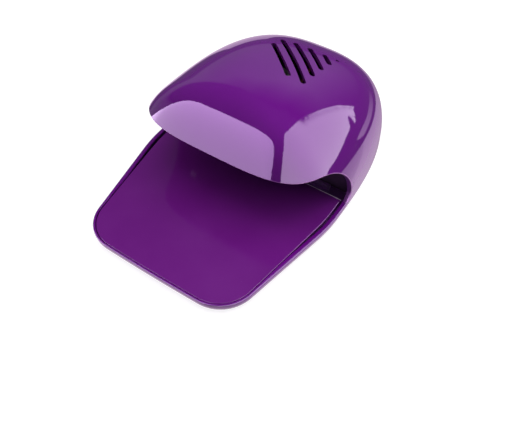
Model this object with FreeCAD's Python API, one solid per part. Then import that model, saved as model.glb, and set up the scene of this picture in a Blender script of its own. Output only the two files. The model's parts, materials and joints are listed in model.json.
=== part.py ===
import FreeCAD, Part
import math
import os

# Battery-driven fan dryer for nail polish, in millimetres.
# +Z is up, -Y is the open front where the hand goes in, and +X is to the right seen from the front.
# The origin is on the table, under the middle of the object.

Vector = FreeCAD.Vector
ACROSS = Vector(1, 0, 0)
BACKWARD = Vector(0, 1, 0)
UP = Vector(0, 0, 1)

# Outer body: a low tray in front and a domed hood over its rear half.
HALF_WIDTH = 49.7
FRONT_Y = -75.1
DOME_CENTRE_Y = -7.0
NOSE_REACH = 26.5
TAIL_REACH = 81.5
NOSE_POWER = 3.4
TAIL_POWER = 2.75
DOME_POWER = 2.3
DOME_TOP = 53.4
DOME_SLOPE = -0.055
RIM_TOP = 5.5
UNDERSIDE = 0.6
WALL = 2.3

# Plan of the tray.
FRONT_RADIUS = 1100.0
CORNER_RADIUS = 17.5
SIDE_RADIUS = 75.0
SIDE_ANGLE = 11.0
TUCK = 1.5
TUCK_TOP = 4.4
RIM_WIDTH = 0.9
LEDGE_Z = 2.8

# Mouth: the opening for the fingers, cut through both side walls.
MOUTH_TOP = 34.0
MOUTH_CENTRE_Y = -24.0
MOUTH_CENTRE_Z = 10.9
MOUTH_DEPTH = 28.4
MOUTH_FOOT_RADIUS = MOUTH_CENTRE_Z - RIM_TOP

# Air slots in the top of the hood, on lines x + y = constant.
SLOT_WIDTH = 2.5
SLOT_PITCH = 7.67
SLOT_FIRST_SUM = 22.66
SLOT_LEFT = -11.3
SLOT_RIGHT = 17.84
SLOT_FRONT = 11.86
SLOT_REAR = 43.15
SLOT_DOT_RADIUS = 0.8

# Finger plate and its hinge.
PLATE_TOP = 5.1
PLATE_THICK = 1.5
PLATE_GAP = 0.5
PLATE_HALF_WIDTH = 46.2
PLATE_SIDE_ANGLE = 9.9
LIP_THICK = 0.8
LIP_REACH = 0.4
LIP_GAP = 0.25
LIP_SIDE_ANGLE = 8.2
PLATE_REAR_Y = 2.2
PIN_Y = -66.0
PIN_Z = 2.85
PIN_RADIUS = 0.75
PIN_HALF_LENGTH = 27.0
KNUCKLE_RADIUS = 1.35
COVER_KNUCKLE_X = 14.0
PLATE_KNUCKLE_X = 24.0
PIN_CLEARANCE = 0.05
TONGUE_HALF_WIDTH = 10.0
RISER_Y = 12.0
SHELF_REAR_Y = 21.5
SHELF_BOTTOM = 7.7
SHELF_TOP = 9.0

# Switch and return spring, both under the shelf of the plate's tongue.
SWITCH_X = -5.0
SPRING_X = 5.0
PRESS_Y = 17.5
SWITCH_SIZE = 7.0
SWITCH_TOP = 5.6
PLUNGER_SIZE = 3.4
PLUNGER_FOOT = 4.4
PLUNGER_GAP = 0.15
SPRING_RADIUS = 2.2
SPRING_WIRE = 0.5
SPRING_TURNS = 4.5

# Fan and motor, on an axis that leans down and forward onto the nails.
FAN_LEAN = 20.0
PANEL_FOOT_Y = 8.0
PANEL_FOOT_Z = 5.8
FAN_CENTRE_Z = 26.0
PANEL_THICK = 2.0
GRILLE_RADIUS = 16.0
DUCT_RADIUS = 17.8
DUCT_OUTER = 19.3
DUCT_DEPTH = 12.5
IMPELLER_RADIUS = 16.8
IMPELLER_FRONT = 4.0
IMPELLER_DEPTH = 7.0
HUB_RADIUS = 4.6
BLADE_COUNT = 6
BLADE_THICK = 1.1
LUG_REACH = 21.5
LUG_RADIUS = 2.6
LUG_SCREW_RADIUS = 0.95
HOLDER_THICK = 1.5
MOTOR_RADIUS = 12.2
MOTOR_FRONT = DUCT_DEPTH + HOLDER_THICK
CAN_LENGTH = 10.6
CAN_WALL = 0.8
CAP_THICK = 1.7
SHAFT_RADIUS = 1.0
MOTOR_TAB_X = 7.0
PANEL_SCREW_X = 36.0
PANEL_SCREW_RISE = 8.0

# Base cover, battery bay and door.
COVER_GAP = 0.2
FLOOR_TOP = 2.0
CELL_RADIUS = 7.1
CELL_BODY = 49.3
CELL_NUB = 1.0
CELL_Z = 9.8
CELL_FRONT_Y = 32.1
CELL_REAR_Y = 47.3
BAY_HALF_LENGTH = 28.5
BAY_FRONT_Y = 24.5
BAY_REAR_Y = 54.9
BAY_WALL = 1.5
BAY_ROOF = 17.4
ROOF_THICK = 1.2
DOOR_GAP = 0.35
DOOR_HOOK_X = 15.0
DOOR_HOOK_HALF = 3.0
CRADLE_X = 16.0
CONTACT_THICK = 0.4
SPRING_GAP = 5.4
CONTACT_CONE = 25.0

# Fastenings and feet.
CASE_SCREWS = [(-41.5, 16.0), (41.5, 16.0), (-35.5, 44.0), (35.5, 44.0)]
POST_RADIUS = 3.2
POST_JOINT = 6.0
SCREW_RADIUS = 1.45
SCREW_SEAT = 3.0
HEAD_RADIUS = 2.8
HEAD_HEIGHT = 1.7
FEET = [(-30.0, -57.0), (30.0, -57.0), (-21.0, 62.0), (21.0, 62.0)]
FOOT_RADIUS = 4.5
FOOT_TOP = 1.3
NIB_X = 12.0
NIB_FRONT = FRONT_Y + 1.85

# Leads.
WIRE_RADIUS = 0.65
WIRE_BEND = 12.0


def box(x0, x1, y0, y1, z0, z1):
    """A block between two corners."""
    return Part.makeBox(x1 - x0, y1 - y0, z1 - z0, Vector(x0, y0, z0))


def column(x, y, half, z0, z1):
    """A square block about an upright centre line."""
    return box(x - half, x + half, y - half, y + half, z0, z1)


def rod(radius, start, axis, length):
    """A cylinder from a point along a direction."""
    return Part.makeCylinder(radius, length, start, axis)


def ring(outer, inner, start, axis, length):
    """A tube from a point along a direction."""
    return rod(outer, start, axis, length).cut(rod(inner, start, axis, length))


def save(name, solids):
    """Write one node. Like pieces share a node as separate solids."""
    shape = solids[0] if len(solids) == 1 else Part.makeCompound(solids)
    shape.exportStep("parts/" + name + ".step")


def superellipse_edge(half_width, reach, power, start_deg, height):
    """Half of a superellipse in plan, turning anticlockwise from start_deg over 180 degrees.
    height is a function of y, so the curve may lie in a slanted plane."""
    steps = 36
    points = []
    for step in range(steps + 1):
        angle = math.radians(start_deg + 180.0 * step / steps)
        across = abs(math.cos(angle)) / half_width
        along = abs(math.sin(angle)) / reach
        radius = (across ** power + along ** power) ** (-1.0 / power)
        y = DOME_CENTRE_Y + radius * math.sin(angle)
        points.append(Vector(radius * math.cos(angle), y, height(y)))
    curve = Part.BSplineCurve()
    curve.interpolate(Points=points, Parameters=[step / steps for step in range(steps + 1)])
    return curve.toShape()


def dome_wire(inset, angle_deg):
    """Section of the dome: a nose half and a tail half, in a plane that follows the dome's slope."""
    angle = math.radians(angle_deg)
    shrink = math.cos(angle) ** (2.0 / DOME_POWER)
    rise = math.sin(angle) ** (2.0 / DOME_POWER)
    crown = DOME_TOP - inset - RIM_TOP

    def height(y):
        return RIM_TOP + rise * (crown + DOME_SLOPE * (y - DOME_CENTRE_Y))

    half_width = (HALF_WIDTH - inset) * shrink
    tail = superellipse_edge(half_width, (TAIL_REACH - inset) * shrink, TAIL_POWER, 0.0, height)
    nose = superellipse_edge(half_width, (NOSE_REACH - inset) * shrink, NOSE_POWER, 180.0, height)
    return Part.Wire([tail, nose])


def dome(inset):
    """The hood as a solid dome standing on the rim plane."""
    sections = [dome_wire(inset, angle) for angle in (0, 12, 24, 36, 48, 59, 68, 75, 81, 86)]
    crown = Part.Vertex(0, DOME_CENTRE_Y, DOME_TOP - inset)
    return Part.makeLoft(sections + [crown], True, False)


def footprint(inset, z, half_width=HALF_WIDTH, side_angle=SIDE_ANGLE):
    """Plan outline of the tray and hood: shallow front arc, corner arcs, straight sides that
    spread backwards, side arcs, and the dome's own tail curve."""
    turn = math.radians(side_angle)
    width = half_width - inset
    side_radius = SIDE_RADIUS - inset
    corner = CORNER_RADIUS - inset
    front_radius = FRONT_RADIUS - inset
    forward = Vector(-math.sin(turn), -math.cos(turn), 0)
    inward = Vector(-math.cos(turn), math.sin(turn), 0)
    side_centre = Vector(width - side_radius, DOME_CENTRE_Y, 0)
    front_centre = Vector(0, FRONT_Y + FRONT_RADIUS, 0)
    side_end = side_centre - inward * side_radius
    offset = side_end + inward * corner - front_centre
    along = offset.dot(forward)
    run = -along + math.sqrt(along ** 2 - offset.dot(offset) + (front_radius - corner) ** 2)
    corner_centre = side_end + inward * corner + forward * run
    corner_side = corner_centre - inward * corner
    outward = corner_centre - front_centre
    outward.normalize()
    corner_front = front_centre + outward * front_radius
    middle = outward - inward
    middle.normalize()
    corner_middle = corner_centre + middle * corner
    side_middle = side_centre + Vector(math.cos(turn / 2), -math.sin(turn / 2), 0) * side_radius
    lift = Vector(0, 0, z)

    def right(point):
        return point + lift

    def left(point):
        return Vector(-point.x, point.y, z)

    widest = Vector(width, DOME_CENTRE_Y, 0)
    front = front_centre - Vector(0, front_radius, 0)
    return Part.Wire([
        superellipse_edge(width, TAIL_REACH - inset, TAIL_POWER, 0.0, lambda y: z),
        Part.Arc(left(widest), left(side_middle), left(side_end)).toShape(),
        Part.LineSegment(left(side_end), left(corner_side)).toShape(),
        Part.Arc(left(corner_side), left(corner_middle), left(corner_front)).toShape(),
        Part.Arc(left(corner_front), right(front), right(corner_front)).toShape(),
        Part.Arc(right(corner_front), right(corner_middle), right(corner_side)).toShape(),
        Part.LineSegment(right(corner_side), right(side_end)).toShape(),
        Part.Arc(right(side_end), right(side_middle), right(widest)).toShape(),
    ])


def slab(inset, low, high):
    """A flat plate with the footprint's outline."""
    return Part.Face(footprint(inset, low)).extrude(Vector(0, 0, high - low))


def tucked_base():
    """Lower edge of the shell, drawn in towards the table in a quarter round."""
    wires = []
    for turn_deg in (64, 44, 22, 0):
        turn = math.radians(turn_deg)
        share = math.sin(turn) / math.sin(math.radians(64))
        inset = TUCK * (1 - math.cos(turn)) / (1 - math.cos(math.radians(64)))
        wires.append(footprint(inset, TUCK_TOP - (TUCK_TOP - UNDERSIDE) * share))
    return Part.makeLoft(wires, True, False)


def mouth_cutter():
    """Side profile of the mouth carried across the body: flat along the rim, a small foot radius,
    a quarter ellipse up the back, and flat along the lip."""
    ellipse = Part.Ellipse(
        Vector(0, MOUTH_CENTRE_Y + MOUTH_DEPTH, MOUTH_CENTRE_Z),
        Vector(0, MOUTH_CENTRE_Y, MOUTH_TOP),
        Vector(0, MOUTH_CENTRE_Y, MOUTH_CENTRE_Z))
    back = Vector(0, MOUTH_CENTRE_Y + MOUTH_DEPTH, MOUTH_CENTRE_Z)
    top = Vector(0, MOUTH_CENTRE_Y, MOUTH_TOP)
    first = ellipse.parameter(back)
    last = ellipse.parameter(top)
    curve = ellipse.toShape(min(first, last), max(first, last))
    foot_centre_y = back.y - MOUTH_FOOT_RADIUS
    foot = Vector(0, foot_centre_y, RIM_TOP)
    swing = MOUTH_FOOT_RADIUS * math.sqrt(0.5)
    foot_middle = Vector(0, foot_centre_y + swing, MOUTH_CENTRE_Z - swing)
    front_low = Vector(0, FRONT_Y - 10, RIM_TOP)
    front_high = Vector(0, FRONT_Y - 10, MOUTH_TOP)
    wire = Part.Wire(Part.__sortEdges__([
        Part.LineSegment(front_low, foot).toShape(),
        Part.Arc(foot, foot_middle, back).toShape(),
        curve,
        Part.LineSegment(top, front_high).toShape(),
        Part.LineSegment(front_high, front_low).toShape(),
    ]))
    reach = HALF_WIDTH + 10
    face = Part.Face(wire)
    face.translate(Vector(-reach, 0, 0))
    return face.extrude(Vector(2 * reach, 0, 0))


def slot_cutters():
    """Six parallel slots at 45 degrees, clipped by a rectangle; the last one is only a pinhole."""
    cutters = []
    low = DOME_TOP - 30
    height = 40
    radius = SLOT_WIDTH / 2
    for index in range(5):
        total = SLOT_FIRST_SUM + SLOT_PITCH * index
        x_left = max(SLOT_LEFT, total - SLOT_REAR) + radius
        x_right = min(SLOT_RIGHT, total - SLOT_FRONT) - radius
        start = Vector(x_left, total - x_left, low)
        end = Vector(x_right, total - x_right, low)
        run = end - start
        normal = Vector(-run.y, run.x, 0)
        normal.normalize()
        normal = normal * radius
        corners = [start + normal, end + normal, end - normal, start - normal, start + normal]
        bar = Part.Face(Part.makePolygon(corners)).extrude(UP * height)
        cutters.append(bar.fuse([rod(radius, start, UP, height), rod(radius, end, UP, height)]))
    dot = Vector(SLOT_RIGHT - SLOT_DOT_RADIUS, SLOT_REAR + SLOT_DOT_RADIUS, low)
    cutters.append(rod(SLOT_DOT_RADIUS, dot, UP, height))
    return cutters


FAN_CENTRE_Y = PANEL_FOOT_Y - math.tan(math.radians(FAN_LEAN)) * (FAN_CENTRE_Z - PANEL_FOOT_Z)
FAN_PLACE = FreeCAD.Placement(
    Vector(0, FAN_CENTRE_Y, FAN_CENTRE_Z),
    FreeCAD.Rotation(ACROSS, FAN_LEAN - 90))


def on_fan_axis(shape):
    """Move a piece made about +Z onto the fan's axis. Local z runs from the panel's front face
    into the hood, and local y runs down the panel."""
    moved = shape.copy()
    moved.Placement = FAN_PLACE.multiply(shape.Placement)
    return moved


def outer_shell():
    body = tucked_base().fuse(slab(0, TUCK_TOP, RIM_TOP)).fuse(dome(0))
    hollow = slab(WALL, UNDERSIDE - 1, RIM_TOP).fuse(dome(WALL))
    opening = footprint(RIM_WIDTH, LEDGE_Z, PLATE_HALF_WIDTH + LIP_GAP + RIM_WIDTH, LIP_SIDE_ANGLE)
    ledge = Part.Face(opening).extrude(UP * (RIM_TOP + 1 - LEDGE_Z))
    ledge = ledge.cut(box(-HALF_WIDTH, HALF_WIDTH, DOME_CENTRE_Y, TAIL_REACH, 0, DOME_TOP))
    shell = body.cut(hollow).cut(mouth_cutter()).cut(ledge)
    posts = []
    for x, y in CASE_SCREWS:
        posts.append(rod(POST_RADIUS, Vector(x, y, POST_JOINT), UP, DOME_TOP))
    for side in (-1, 1):
        foot = Vector(side * PANEL_SCREW_X, -PANEL_SCREW_RISE, PANEL_THICK + 0.1)
        posts.append(on_fan_axis(rod(POST_RADIUS, foot, UP, 22)))
    inside = dome(WALL / 2)
    shell = shell.fuse([post.common(inside) for post in posts])
    holes = slot_cutters()
    for x, y in CASE_SCREWS:
        holes.append(rod(SCREW_RADIUS + 0.05, Vector(x, y, POST_JOINT - 1), UP, 8))
    for side in (-1, 1):
        foot = Vector(side * PANEL_SCREW_X, -PANEL_SCREW_RISE, 0)
        holes.append(on_fan_axis(rod(LUG_SCREW_RADIUS + 0.05, foot, UP, 9)))
    for x in (-NIB_X, NIB_X):
        holes.append(box(x - 4.4, x + 4.4, NIB_FRONT - 0.15, NIB_FRONT + 1.0, 1.2, 2.3))
    return shell.cut(holes).removeSplitter()


def plate_layer(inset, half_width, side_angle, thick):
    """One layer of the plate below its top face: its own outline in front of the widest place,
    and straight sides behind it."""
    bottom = PLATE_TOP - thick
    outline = footprint(inset, bottom, half_width + inset, side_angle)
    front = Part.Face(outline).extrude(UP * thick)
    front = front.cut(box(-HALF_WIDTH, HALF_WIDTH, DOME_CENTRE_Y, TAIL_REACH, 0, DOME_TOP))
    rear = box(-half_width, half_width, DOME_CENTRE_Y, PLATE_REAR_Y, bottom, PLATE_TOP)
    return front.fuse(rear)


def finger_plate():
    """Flat plate whose thin lip lies over the ledge in the rim. It has hinge knuckles under its
    front and a stepped tongue behind it. The tongue passes under the outlet panel and ends in a
    shelf over the switch and the return spring."""
    bottom = PLATE_TOP - PLATE_THICK
    lip = plate_layer(LIP_GAP + RIM_WIDTH, PLATE_HALF_WIDTH, LIP_SIDE_ANGLE, LIP_THICK)
    core_width = PLATE_HALF_WIDTH - LIP_REACH
    core = plate_layer(PLATE_GAP + WALL, core_width, PLATE_SIDE_ANGLE, PLATE_THICK)
    plate = core.fuse(lip).removeSplitter()
    rim = [edge for edge in plate.Edges if min(v.Z for v in edge.Vertexes) > PLATE_TOP - 0.01]
    plate = plate.makeFillet(0.4, rim)
    for x in (-COVER_KNUCKLE_X, COVER_KNUCKLE_X):
        recess = KNUCKLE_RADIUS + 0.25
        plate = plate.cut(rod(recess, Vector(x - 4.3, PIN_Y, PIN_Z), ACROSS, 8.6))
    half = TONGUE_HALF_WIDTH
    riser_rear = RISER_Y + PLATE_THICK
    added = [
        box(-half, half, PLATE_REAR_Y - 1, riser_rear, bottom, PLATE_TOP - 0.1),
        box(-half, half, RISER_Y, riser_rear, bottom, SHELF_TOP),
        box(-half, half, RISER_Y, SHELF_REAR_Y, SHELF_BOTTOM, SHELF_TOP),
        rod(SPRING_RADIUS - 0.6, Vector(SPRING_X, PRESS_Y, SHELF_BOTTOM - 0.8), UP, 1.0),
    ]
    for x in (-PLATE_KNUCKLE_X, PLATE_KNUCKLE_X):
        added.append(rod(KNUCKLE_RADIUS, Vector(x - 3, PIN_Y, PIN_Z), ACROSS, 6))
        added.append(box(x - 3, x + 3, PIN_Y - 1, PIN_Y + 1, PIN_Z, bottom + 0.2))
    plate = plate.fuse(added)
    bore = rod(PIN_RADIUS + PIN_CLEARANCE, Vector(-PIN_HALF_LENGTH - 2, PIN_Y, PIN_Z), ACROSS,
               2 * PIN_HALF_LENGTH + 4)
    return plate.cut(bore).removeSplitter()


def hinge_pin():
    """Steel pin with a small chamfer at each end."""
    pin = rod(PIN_RADIUS, Vector(-PIN_HALF_LENGTH, PIN_Y, PIN_Z), ACROSS, 2 * PIN_HALF_LENGTH)
    return pin.makeChamfer(0.2, [edge for edge in pin.Edges if edge.Length < 6])


def grille_bars():
    """Level slots of the finger guard, each as long as the circle allows."""
    slots = []
    pitch = 4.2
    height = 2.6
    for row in range(-3, 4):
        y = row * pitch
        reach = math.sqrt(GRILLE_RADIUS ** 2 - (abs(y) + height / 2) ** 2)
        for side in (-1, 1):
            inner = 0.8
            slot = box(min(side * inner, side * reach), max(side * inner, side * reach),
                       y - height / 2, y + height / 2, -1, PANEL_THICK + 1)
            slots.append(slot)
    return slots


def outlet_panel():
    """Slanted panel at the back of the mouth, cut to the hood's inner form, with the finger guard,
    the duct ring round the fan, and four lugs for the motor holder."""
    reach = HALF_WIDTH + 5
    sheet = Part.makeBox(2 * reach, 120, PANEL_THICK, Vector(-reach, -60, 0))
    room = dome(WALL + 0.3).fuse(slab(WALL + 0.3, FLOOR_TOP + 0.3, RIM_TOP))
    panel = on_fan_axis(sheet).common(room)
    back = PANEL_THICK - 0.2
    depth = DUCT_DEPTH - back
    duct = ring(DUCT_OUTER, DUCT_RADIUS, Vector(0, 0, back), UP, depth)
    lugs = []
    for x, y in lug_places():
        lugs.append(rod(LUG_RADIUS, Vector(x, y, back), UP, depth))
    throat = rod(DUCT_RADIUS, Vector(0, 0, PANEL_THICK), UP, DUCT_DEPTH)
    backing = duct.fuse(lugs).cut(throat)
    panel = panel.fuse(on_fan_axis(backing))
    cuts = [on_fan_axis(slot) for slot in grille_bars()]
    for x, y in lug_places():
        hole = rod(LUG_SCREW_RADIUS + 0.05, Vector(x, y, DUCT_DEPTH - 6.5), UP, 8)
        cuts.append(on_fan_axis(hole))
    for side in (-1, 1):
        through = Vector(side * PANEL_SCREW_X, -PANEL_SCREW_RISE, -1)
        cuts.append(on_fan_axis(rod(LUG_SCREW_RADIUS + 0.2, through, UP, PANEL_THICK + 2)))
    notch = TONGUE_HALF_WIDTH + 2
    cuts.append(box(-notch, notch, 0, 20, 0, PANEL_FOOT_Z))
    return panel.cut(cuts).removeSplitter()


def lug_places():
    """Four lugs on the diagonals, in the fan's own plane."""
    reach = LUG_REACH * math.sqrt(0.5)
    return [(x * reach, y * reach) for x in (-1, 1) for y in (-1, 1)]


def fan_impeller():
    """Hub with a rounded nose and twisted blades, coarse at the root and flatter at the tip."""
    hub = rod(HUB_RADIUS, Vector(0, 0, IMPELLER_FRONT), UP, IMPELLER_DEPTH)
    nose = [edge for edge in hub.Edges if edge.BoundBox.ZMax < IMPELLER_FRONT + 0.01]
    hub = hub.makeFillet(1.5, nose)
    middle = IMPELLER_FRONT + IMPELLER_DEPTH / 2

    def blade_section(radius, pitch_deg, chord):
        pitch = math.radians(pitch_deg)
        along = Vector(0, math.cos(pitch), math.sin(pitch)) * (chord / 2)
        across = Vector(0, -math.sin(pitch), math.cos(pitch)) * (BLADE_THICK / 2)
        centre = Vector(radius, 0, middle)
        corners = [centre + along + across, centre - along + across,
                   centre - along - across, centre + along - across]
        return Part.makePolygon(corners + corners[:1])

    root = blade_section(HUB_RADIUS - 0.8, 46, 5.6)
    tip = blade_section(IMPELLER_RADIUS - 0.2, 27, 10.5)
    blade = Part.makeLoft([root, tip], True, True)
    blades = []
    for index in range(BLADE_COUNT):
        turned = blade.copy()
        turned.rotate(Vector(0, 0, 0), UP, 360.0 * index / BLADE_COUNT)
        blades.append(turned)
    wheel = hub.fuse(blades).cut(rod(SHAFT_RADIUS, Vector(0, 0, 0), UP, 30))
    return on_fan_axis(wheel)


def motor_holder():
    """Spider behind the duct ring: a cup round the motor's front and four arms to the lugs."""
    face = MOTOR_FRONT - HOLDER_THICK
    cup = rod(MOTOR_RADIUS + 1.4, Vector(0, 0, face), UP, HOLDER_THICK + 4)
    arms = []
    for x, y in lug_places():
        turn = math.degrees(math.atan2(y, x))
        half = LUG_RADIUS - 0.4
        arm = box(MOTOR_RADIUS, LUG_REACH, -half, half, face, face + HOLDER_THICK)
        arm.rotate(Vector(0, 0, 0), UP, turn)
        arms.append(arm)
        arms.append(rod(LUG_RADIUS, Vector(x, y, face), UP, HOLDER_THICK))
    holder = cup.fuse(arms)
    cuts = [rod(MOTOR_RADIUS + 0.02, Vector(0, 0, MOTOR_FRONT), UP, 10),
            rod(3.4, Vector(0, 0, face - 1), UP, 5)]
    for x, y in lug_places():
        cuts.append(rod(LUG_SCREW_RADIUS + 0.15, Vector(x, y, face - 1), UP, 5))
    return on_fan_axis(holder.cut(cuts))


def screw(point, axis_turn, radius, length, head_radius, head_height):
    """Self-tapping screw with a pan head, a cross recess and ringed thread. It is made head up at
    the origin, then turned about the X axis and moved; the point is the underside of the head."""
    profile = [Vector(0, 0, 0), Vector(head_radius, 0, 0), Vector(head_radius, 0, head_height * 0.55),
               Vector(head_radius * 0.72, 0, head_height), Vector(0, 0, head_height)]
    head = Part.Face(Part.makePolygon(profile + profile[:1])).revolve(Vector(0, 0, 0), UP, 360)
    outline = [Vector(0, 0, 0.1), Vector(radius * 0.8, 0, 0.1)]
    pitch = radius * 0.8
    depth = -pitch
    while depth > -length + 2.5 * pitch:
        outline.append(Vector(radius * 0.8, 0, depth + pitch * 0.35))
        outline.append(Vector(radius, 0, depth))
        outline.append(Vector(radius * 0.8, 0, depth - pitch * 0.35))
        depth -= pitch
    outline.append(Vector(radius * 0.7, 0, depth))
    outline.append(Vector(0, 0, -length))
    shank = Part.Face(Part.makePolygon(outline + outline[:1])).revolve(Vector(0, 0, 0), UP, 360)
    slot = head_radius * 0.55
    cross = [box(-slot, slot, -0.25, 0.25, head_height * 0.45, head_height + 1),
             box(-0.25, 0.25, -slot, slot, head_height * 0.45, head_height + 1)]
    whole = head.cut(cross).fuse(shank)
    whole.Placement = FreeCAD.Placement(point, FreeCAD.Rotation(ACROSS, axis_turn))
    return whole


def fan_point(x, y, z):
    """A point given in the fan's own frame."""
    return FAN_PLACE.multVec(Vector(x, y, z))


def holder_screws():
    top = MOTOR_FRONT + 0.02
    return [screw(fan_point(x, y, top), FAN_LEAN - 90, LUG_SCREW_RADIUS, 6.5, 1.9, 1.2)
            for x, y in lug_places()]


def panel_screws():
    """They go in from the mouth side, so their heads lie on the panel's front face."""
    return [screw(fan_point(side * PANEL_SCREW_X, -PANEL_SCREW_RISE, -0.02), FAN_LEAN + 90,
                  LUG_SCREW_RADIUS, 7.5, 1.9, 1.2) for side in (-1, 1)]


def case_screws():
    return [screw(Vector(x, y, SCREW_SEAT - 0.02), 180, SCREW_RADIUS, 9.5, HEAD_RADIUS, HEAD_HEIGHT)
            for x, y in CASE_SCREWS]


def motor_can():
    """Drawn steel cup with a hole for the front bush."""
    can = rod(MOTOR_RADIUS, Vector(0, 0, MOTOR_FRONT), UP, CAN_LENGTH)
    edge = [edge for edge in can.Edges if edge.BoundBox.ZMax < MOTOR_FRONT + 0.01]
    can = can.makeFillet(0.7, edge)
    inner = rod(MOTOR_RADIUS - CAN_WALL, Vector(0, 0, MOTOR_FRONT + CAN_WALL), UP, CAN_LENGTH)
    return on_fan_axis(can.cut(inner).cut(rod(2.2, Vector(0, 0, MOTOR_FRONT - 1), UP, 5)))


def motor_end_cap():
    """Plastic end with a plug that fits the can, and slots for the two brush tabs."""
    start = MOTOR_FRONT + CAN_LENGTH
    cap = rod(MOTOR_RADIUS, Vector(0, 0, start), UP, CAP_THICK)
    fit = MOTOR_RADIUS - CAN_WALL - 0.02
    plug = ring(fit, fit - 1.2, Vector(0, 0, start - 1.2), UP, 1.4)
    cap = cap.fuse(plug).cut(rod(2.2, Vector(0, 0, start - 1), UP, CAP_THICK + 2))
    slots = [box(x - 1.1, x + 1.1, -0.3, 0.3, start - 1, start + CAP_THICK + 1)
             for x in (-MOTOR_TAB_X, MOTOR_TAB_X)]
    return on_fan_axis(cap.cut(slots))


def motor_bushes():
    """Two sintered bronze bushes, one in the can and one in the end cap."""
    bushes = []
    for start in (MOTOR_FRONT - 0.4, MOTOR_FRONT + CAN_LENGTH):
        bush = ring(2.18, SHAFT_RADIUS + 0.03, Vector(0, 0, start), UP, 1.6)
        bushes.append(on_fan_axis(bush))
    return bushes


def motor_magnets():
    """Two ferrite arcs against the can's wall."""
    outer = MOTOR_RADIUS - CAN_WALL - 0.02
    tube = ring(outer, outer - 1.9, Vector(0, 0, MOTOR_FRONT + 1.3), UP, 7.6)
    arcs = []
    for side in (-1, 1):
        reach = outer + 1
        corners = [
            Vector(0, 0, 0), Vector(side * reach, -reach * 1.3, 0),
            Vector(side * reach * 2, 0, 0), Vector(side * reach, reach * 1.3, 0), Vector(0, 0, 0)]
        wedge = Part.Face(Part.makePolygon(corners)).extrude(UP * 40)
        arcs.append(on_fan_axis(tube.common(wedge)))
    return arcs


def motor_core():
    """Laminated core with three T-shaped poles."""
    start = MOTOR_FRONT + 2.3
    length = 5.2
    tip = 8.6
    core = rod(2.6, Vector(0, 0, start), UP, length)
    rim = ring(tip, tip - 1.1, Vector(0, 0, start), UP, length)
    for pole in range(3):
        stem = box(0, tip - 0.5, -1.1, 1.1, start, start + length)
        stem.rotate(Vector(0, 0, 0), UP, 120 * pole)
        gap = box(0, tip + 1, -0.9, 0.9, start - 1, start + length + 1)
        gap.rotate(Vector(0, 0, 0), UP, 120 * pole + 60)
        rim = rim.cut(gap)
        core = core.fuse(stem)
    core = core.fuse(rim)
    return on_fan_axis(core.cut(rod(SHAFT_RADIUS, Vector(0, 0, 0), UP, 40)))


def motor_windings():
    """Copper coils round the three poles, two sides to each."""
    start = MOTOR_FRONT + 1.9
    coils = []
    for pole in range(3):
        outer = box(3.2, 6.9, -2.6, 2.6, start, start + 6.0)
        edges = [edge for edge in outer.Edges if abs(edge.tangentAt(edge.FirstParameter).x) > 0.9]
        outer = outer.makeFillet(1.2, edges)
        inner = box(2, 8, -1.12, 1.12, start + 0.38, start + 5.62)
        coil = outer.cut(inner)
        coil.rotate(Vector(0, 0, 0), UP, 120 * pole)
        coils.append(on_fan_axis(coil))
    return coils


def motor_commutator():
    """Copper sleeve in three segments on the shaft, joined by an insulating tube."""
    start = MOTOR_FRONT + 8.1
    tube = rod(2.0, Vector(0, 0, start), UP, 2.2)
    collar = rod(2.5, Vector(0, 0, start), UP, 0.4)
    whole = tube.fuse(collar)
    for segment in range(3):
        slit = box(1.6, 3, -0.15, 0.15, start - 1, start + 4)
        slit.rotate(Vector(0, 0, 0), UP, 120 * segment)
        whole = whole.cut(slit)
    return on_fan_axis(whole.cut(rod(SHAFT_RADIUS, Vector(0, 0, 0), UP, 40)))


def motor_brushes():
    """Two brass springs that touch the commutator and leave the end cap as solder tabs."""
    start = MOTOR_FRONT + 8.9
    cap_end = MOTOR_FRONT + CAN_LENGTH + CAP_THICK
    brushes = []
    for side in (-1, 1):
        x_tab = side * MOTOR_TAB_X
        tab = box(x_tab - 0.9, x_tab + 0.9, -0.15, 0.15, start, cap_end + 2.2)
        reach = side * 2.12
        arm = box(min(x_tab, reach), max(x_tab, reach), -0.15, 0.15, start, start + 0.9)
        brushes.append(on_fan_axis(tab.fuse(arm)))
    return brushes


def motor_shaft():
    start = IMPELLER_FRONT + 0.6
    end = MOTOR_FRONT + CAN_LENGTH + 1.5
    shaft = rod(SHAFT_RADIUS, Vector(0, 0, start), UP, end - start)
    return on_fan_axis(shaft.makeChamfer(0.2, [edge for edge in shaft.Edges if edge.Closed]))


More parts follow.
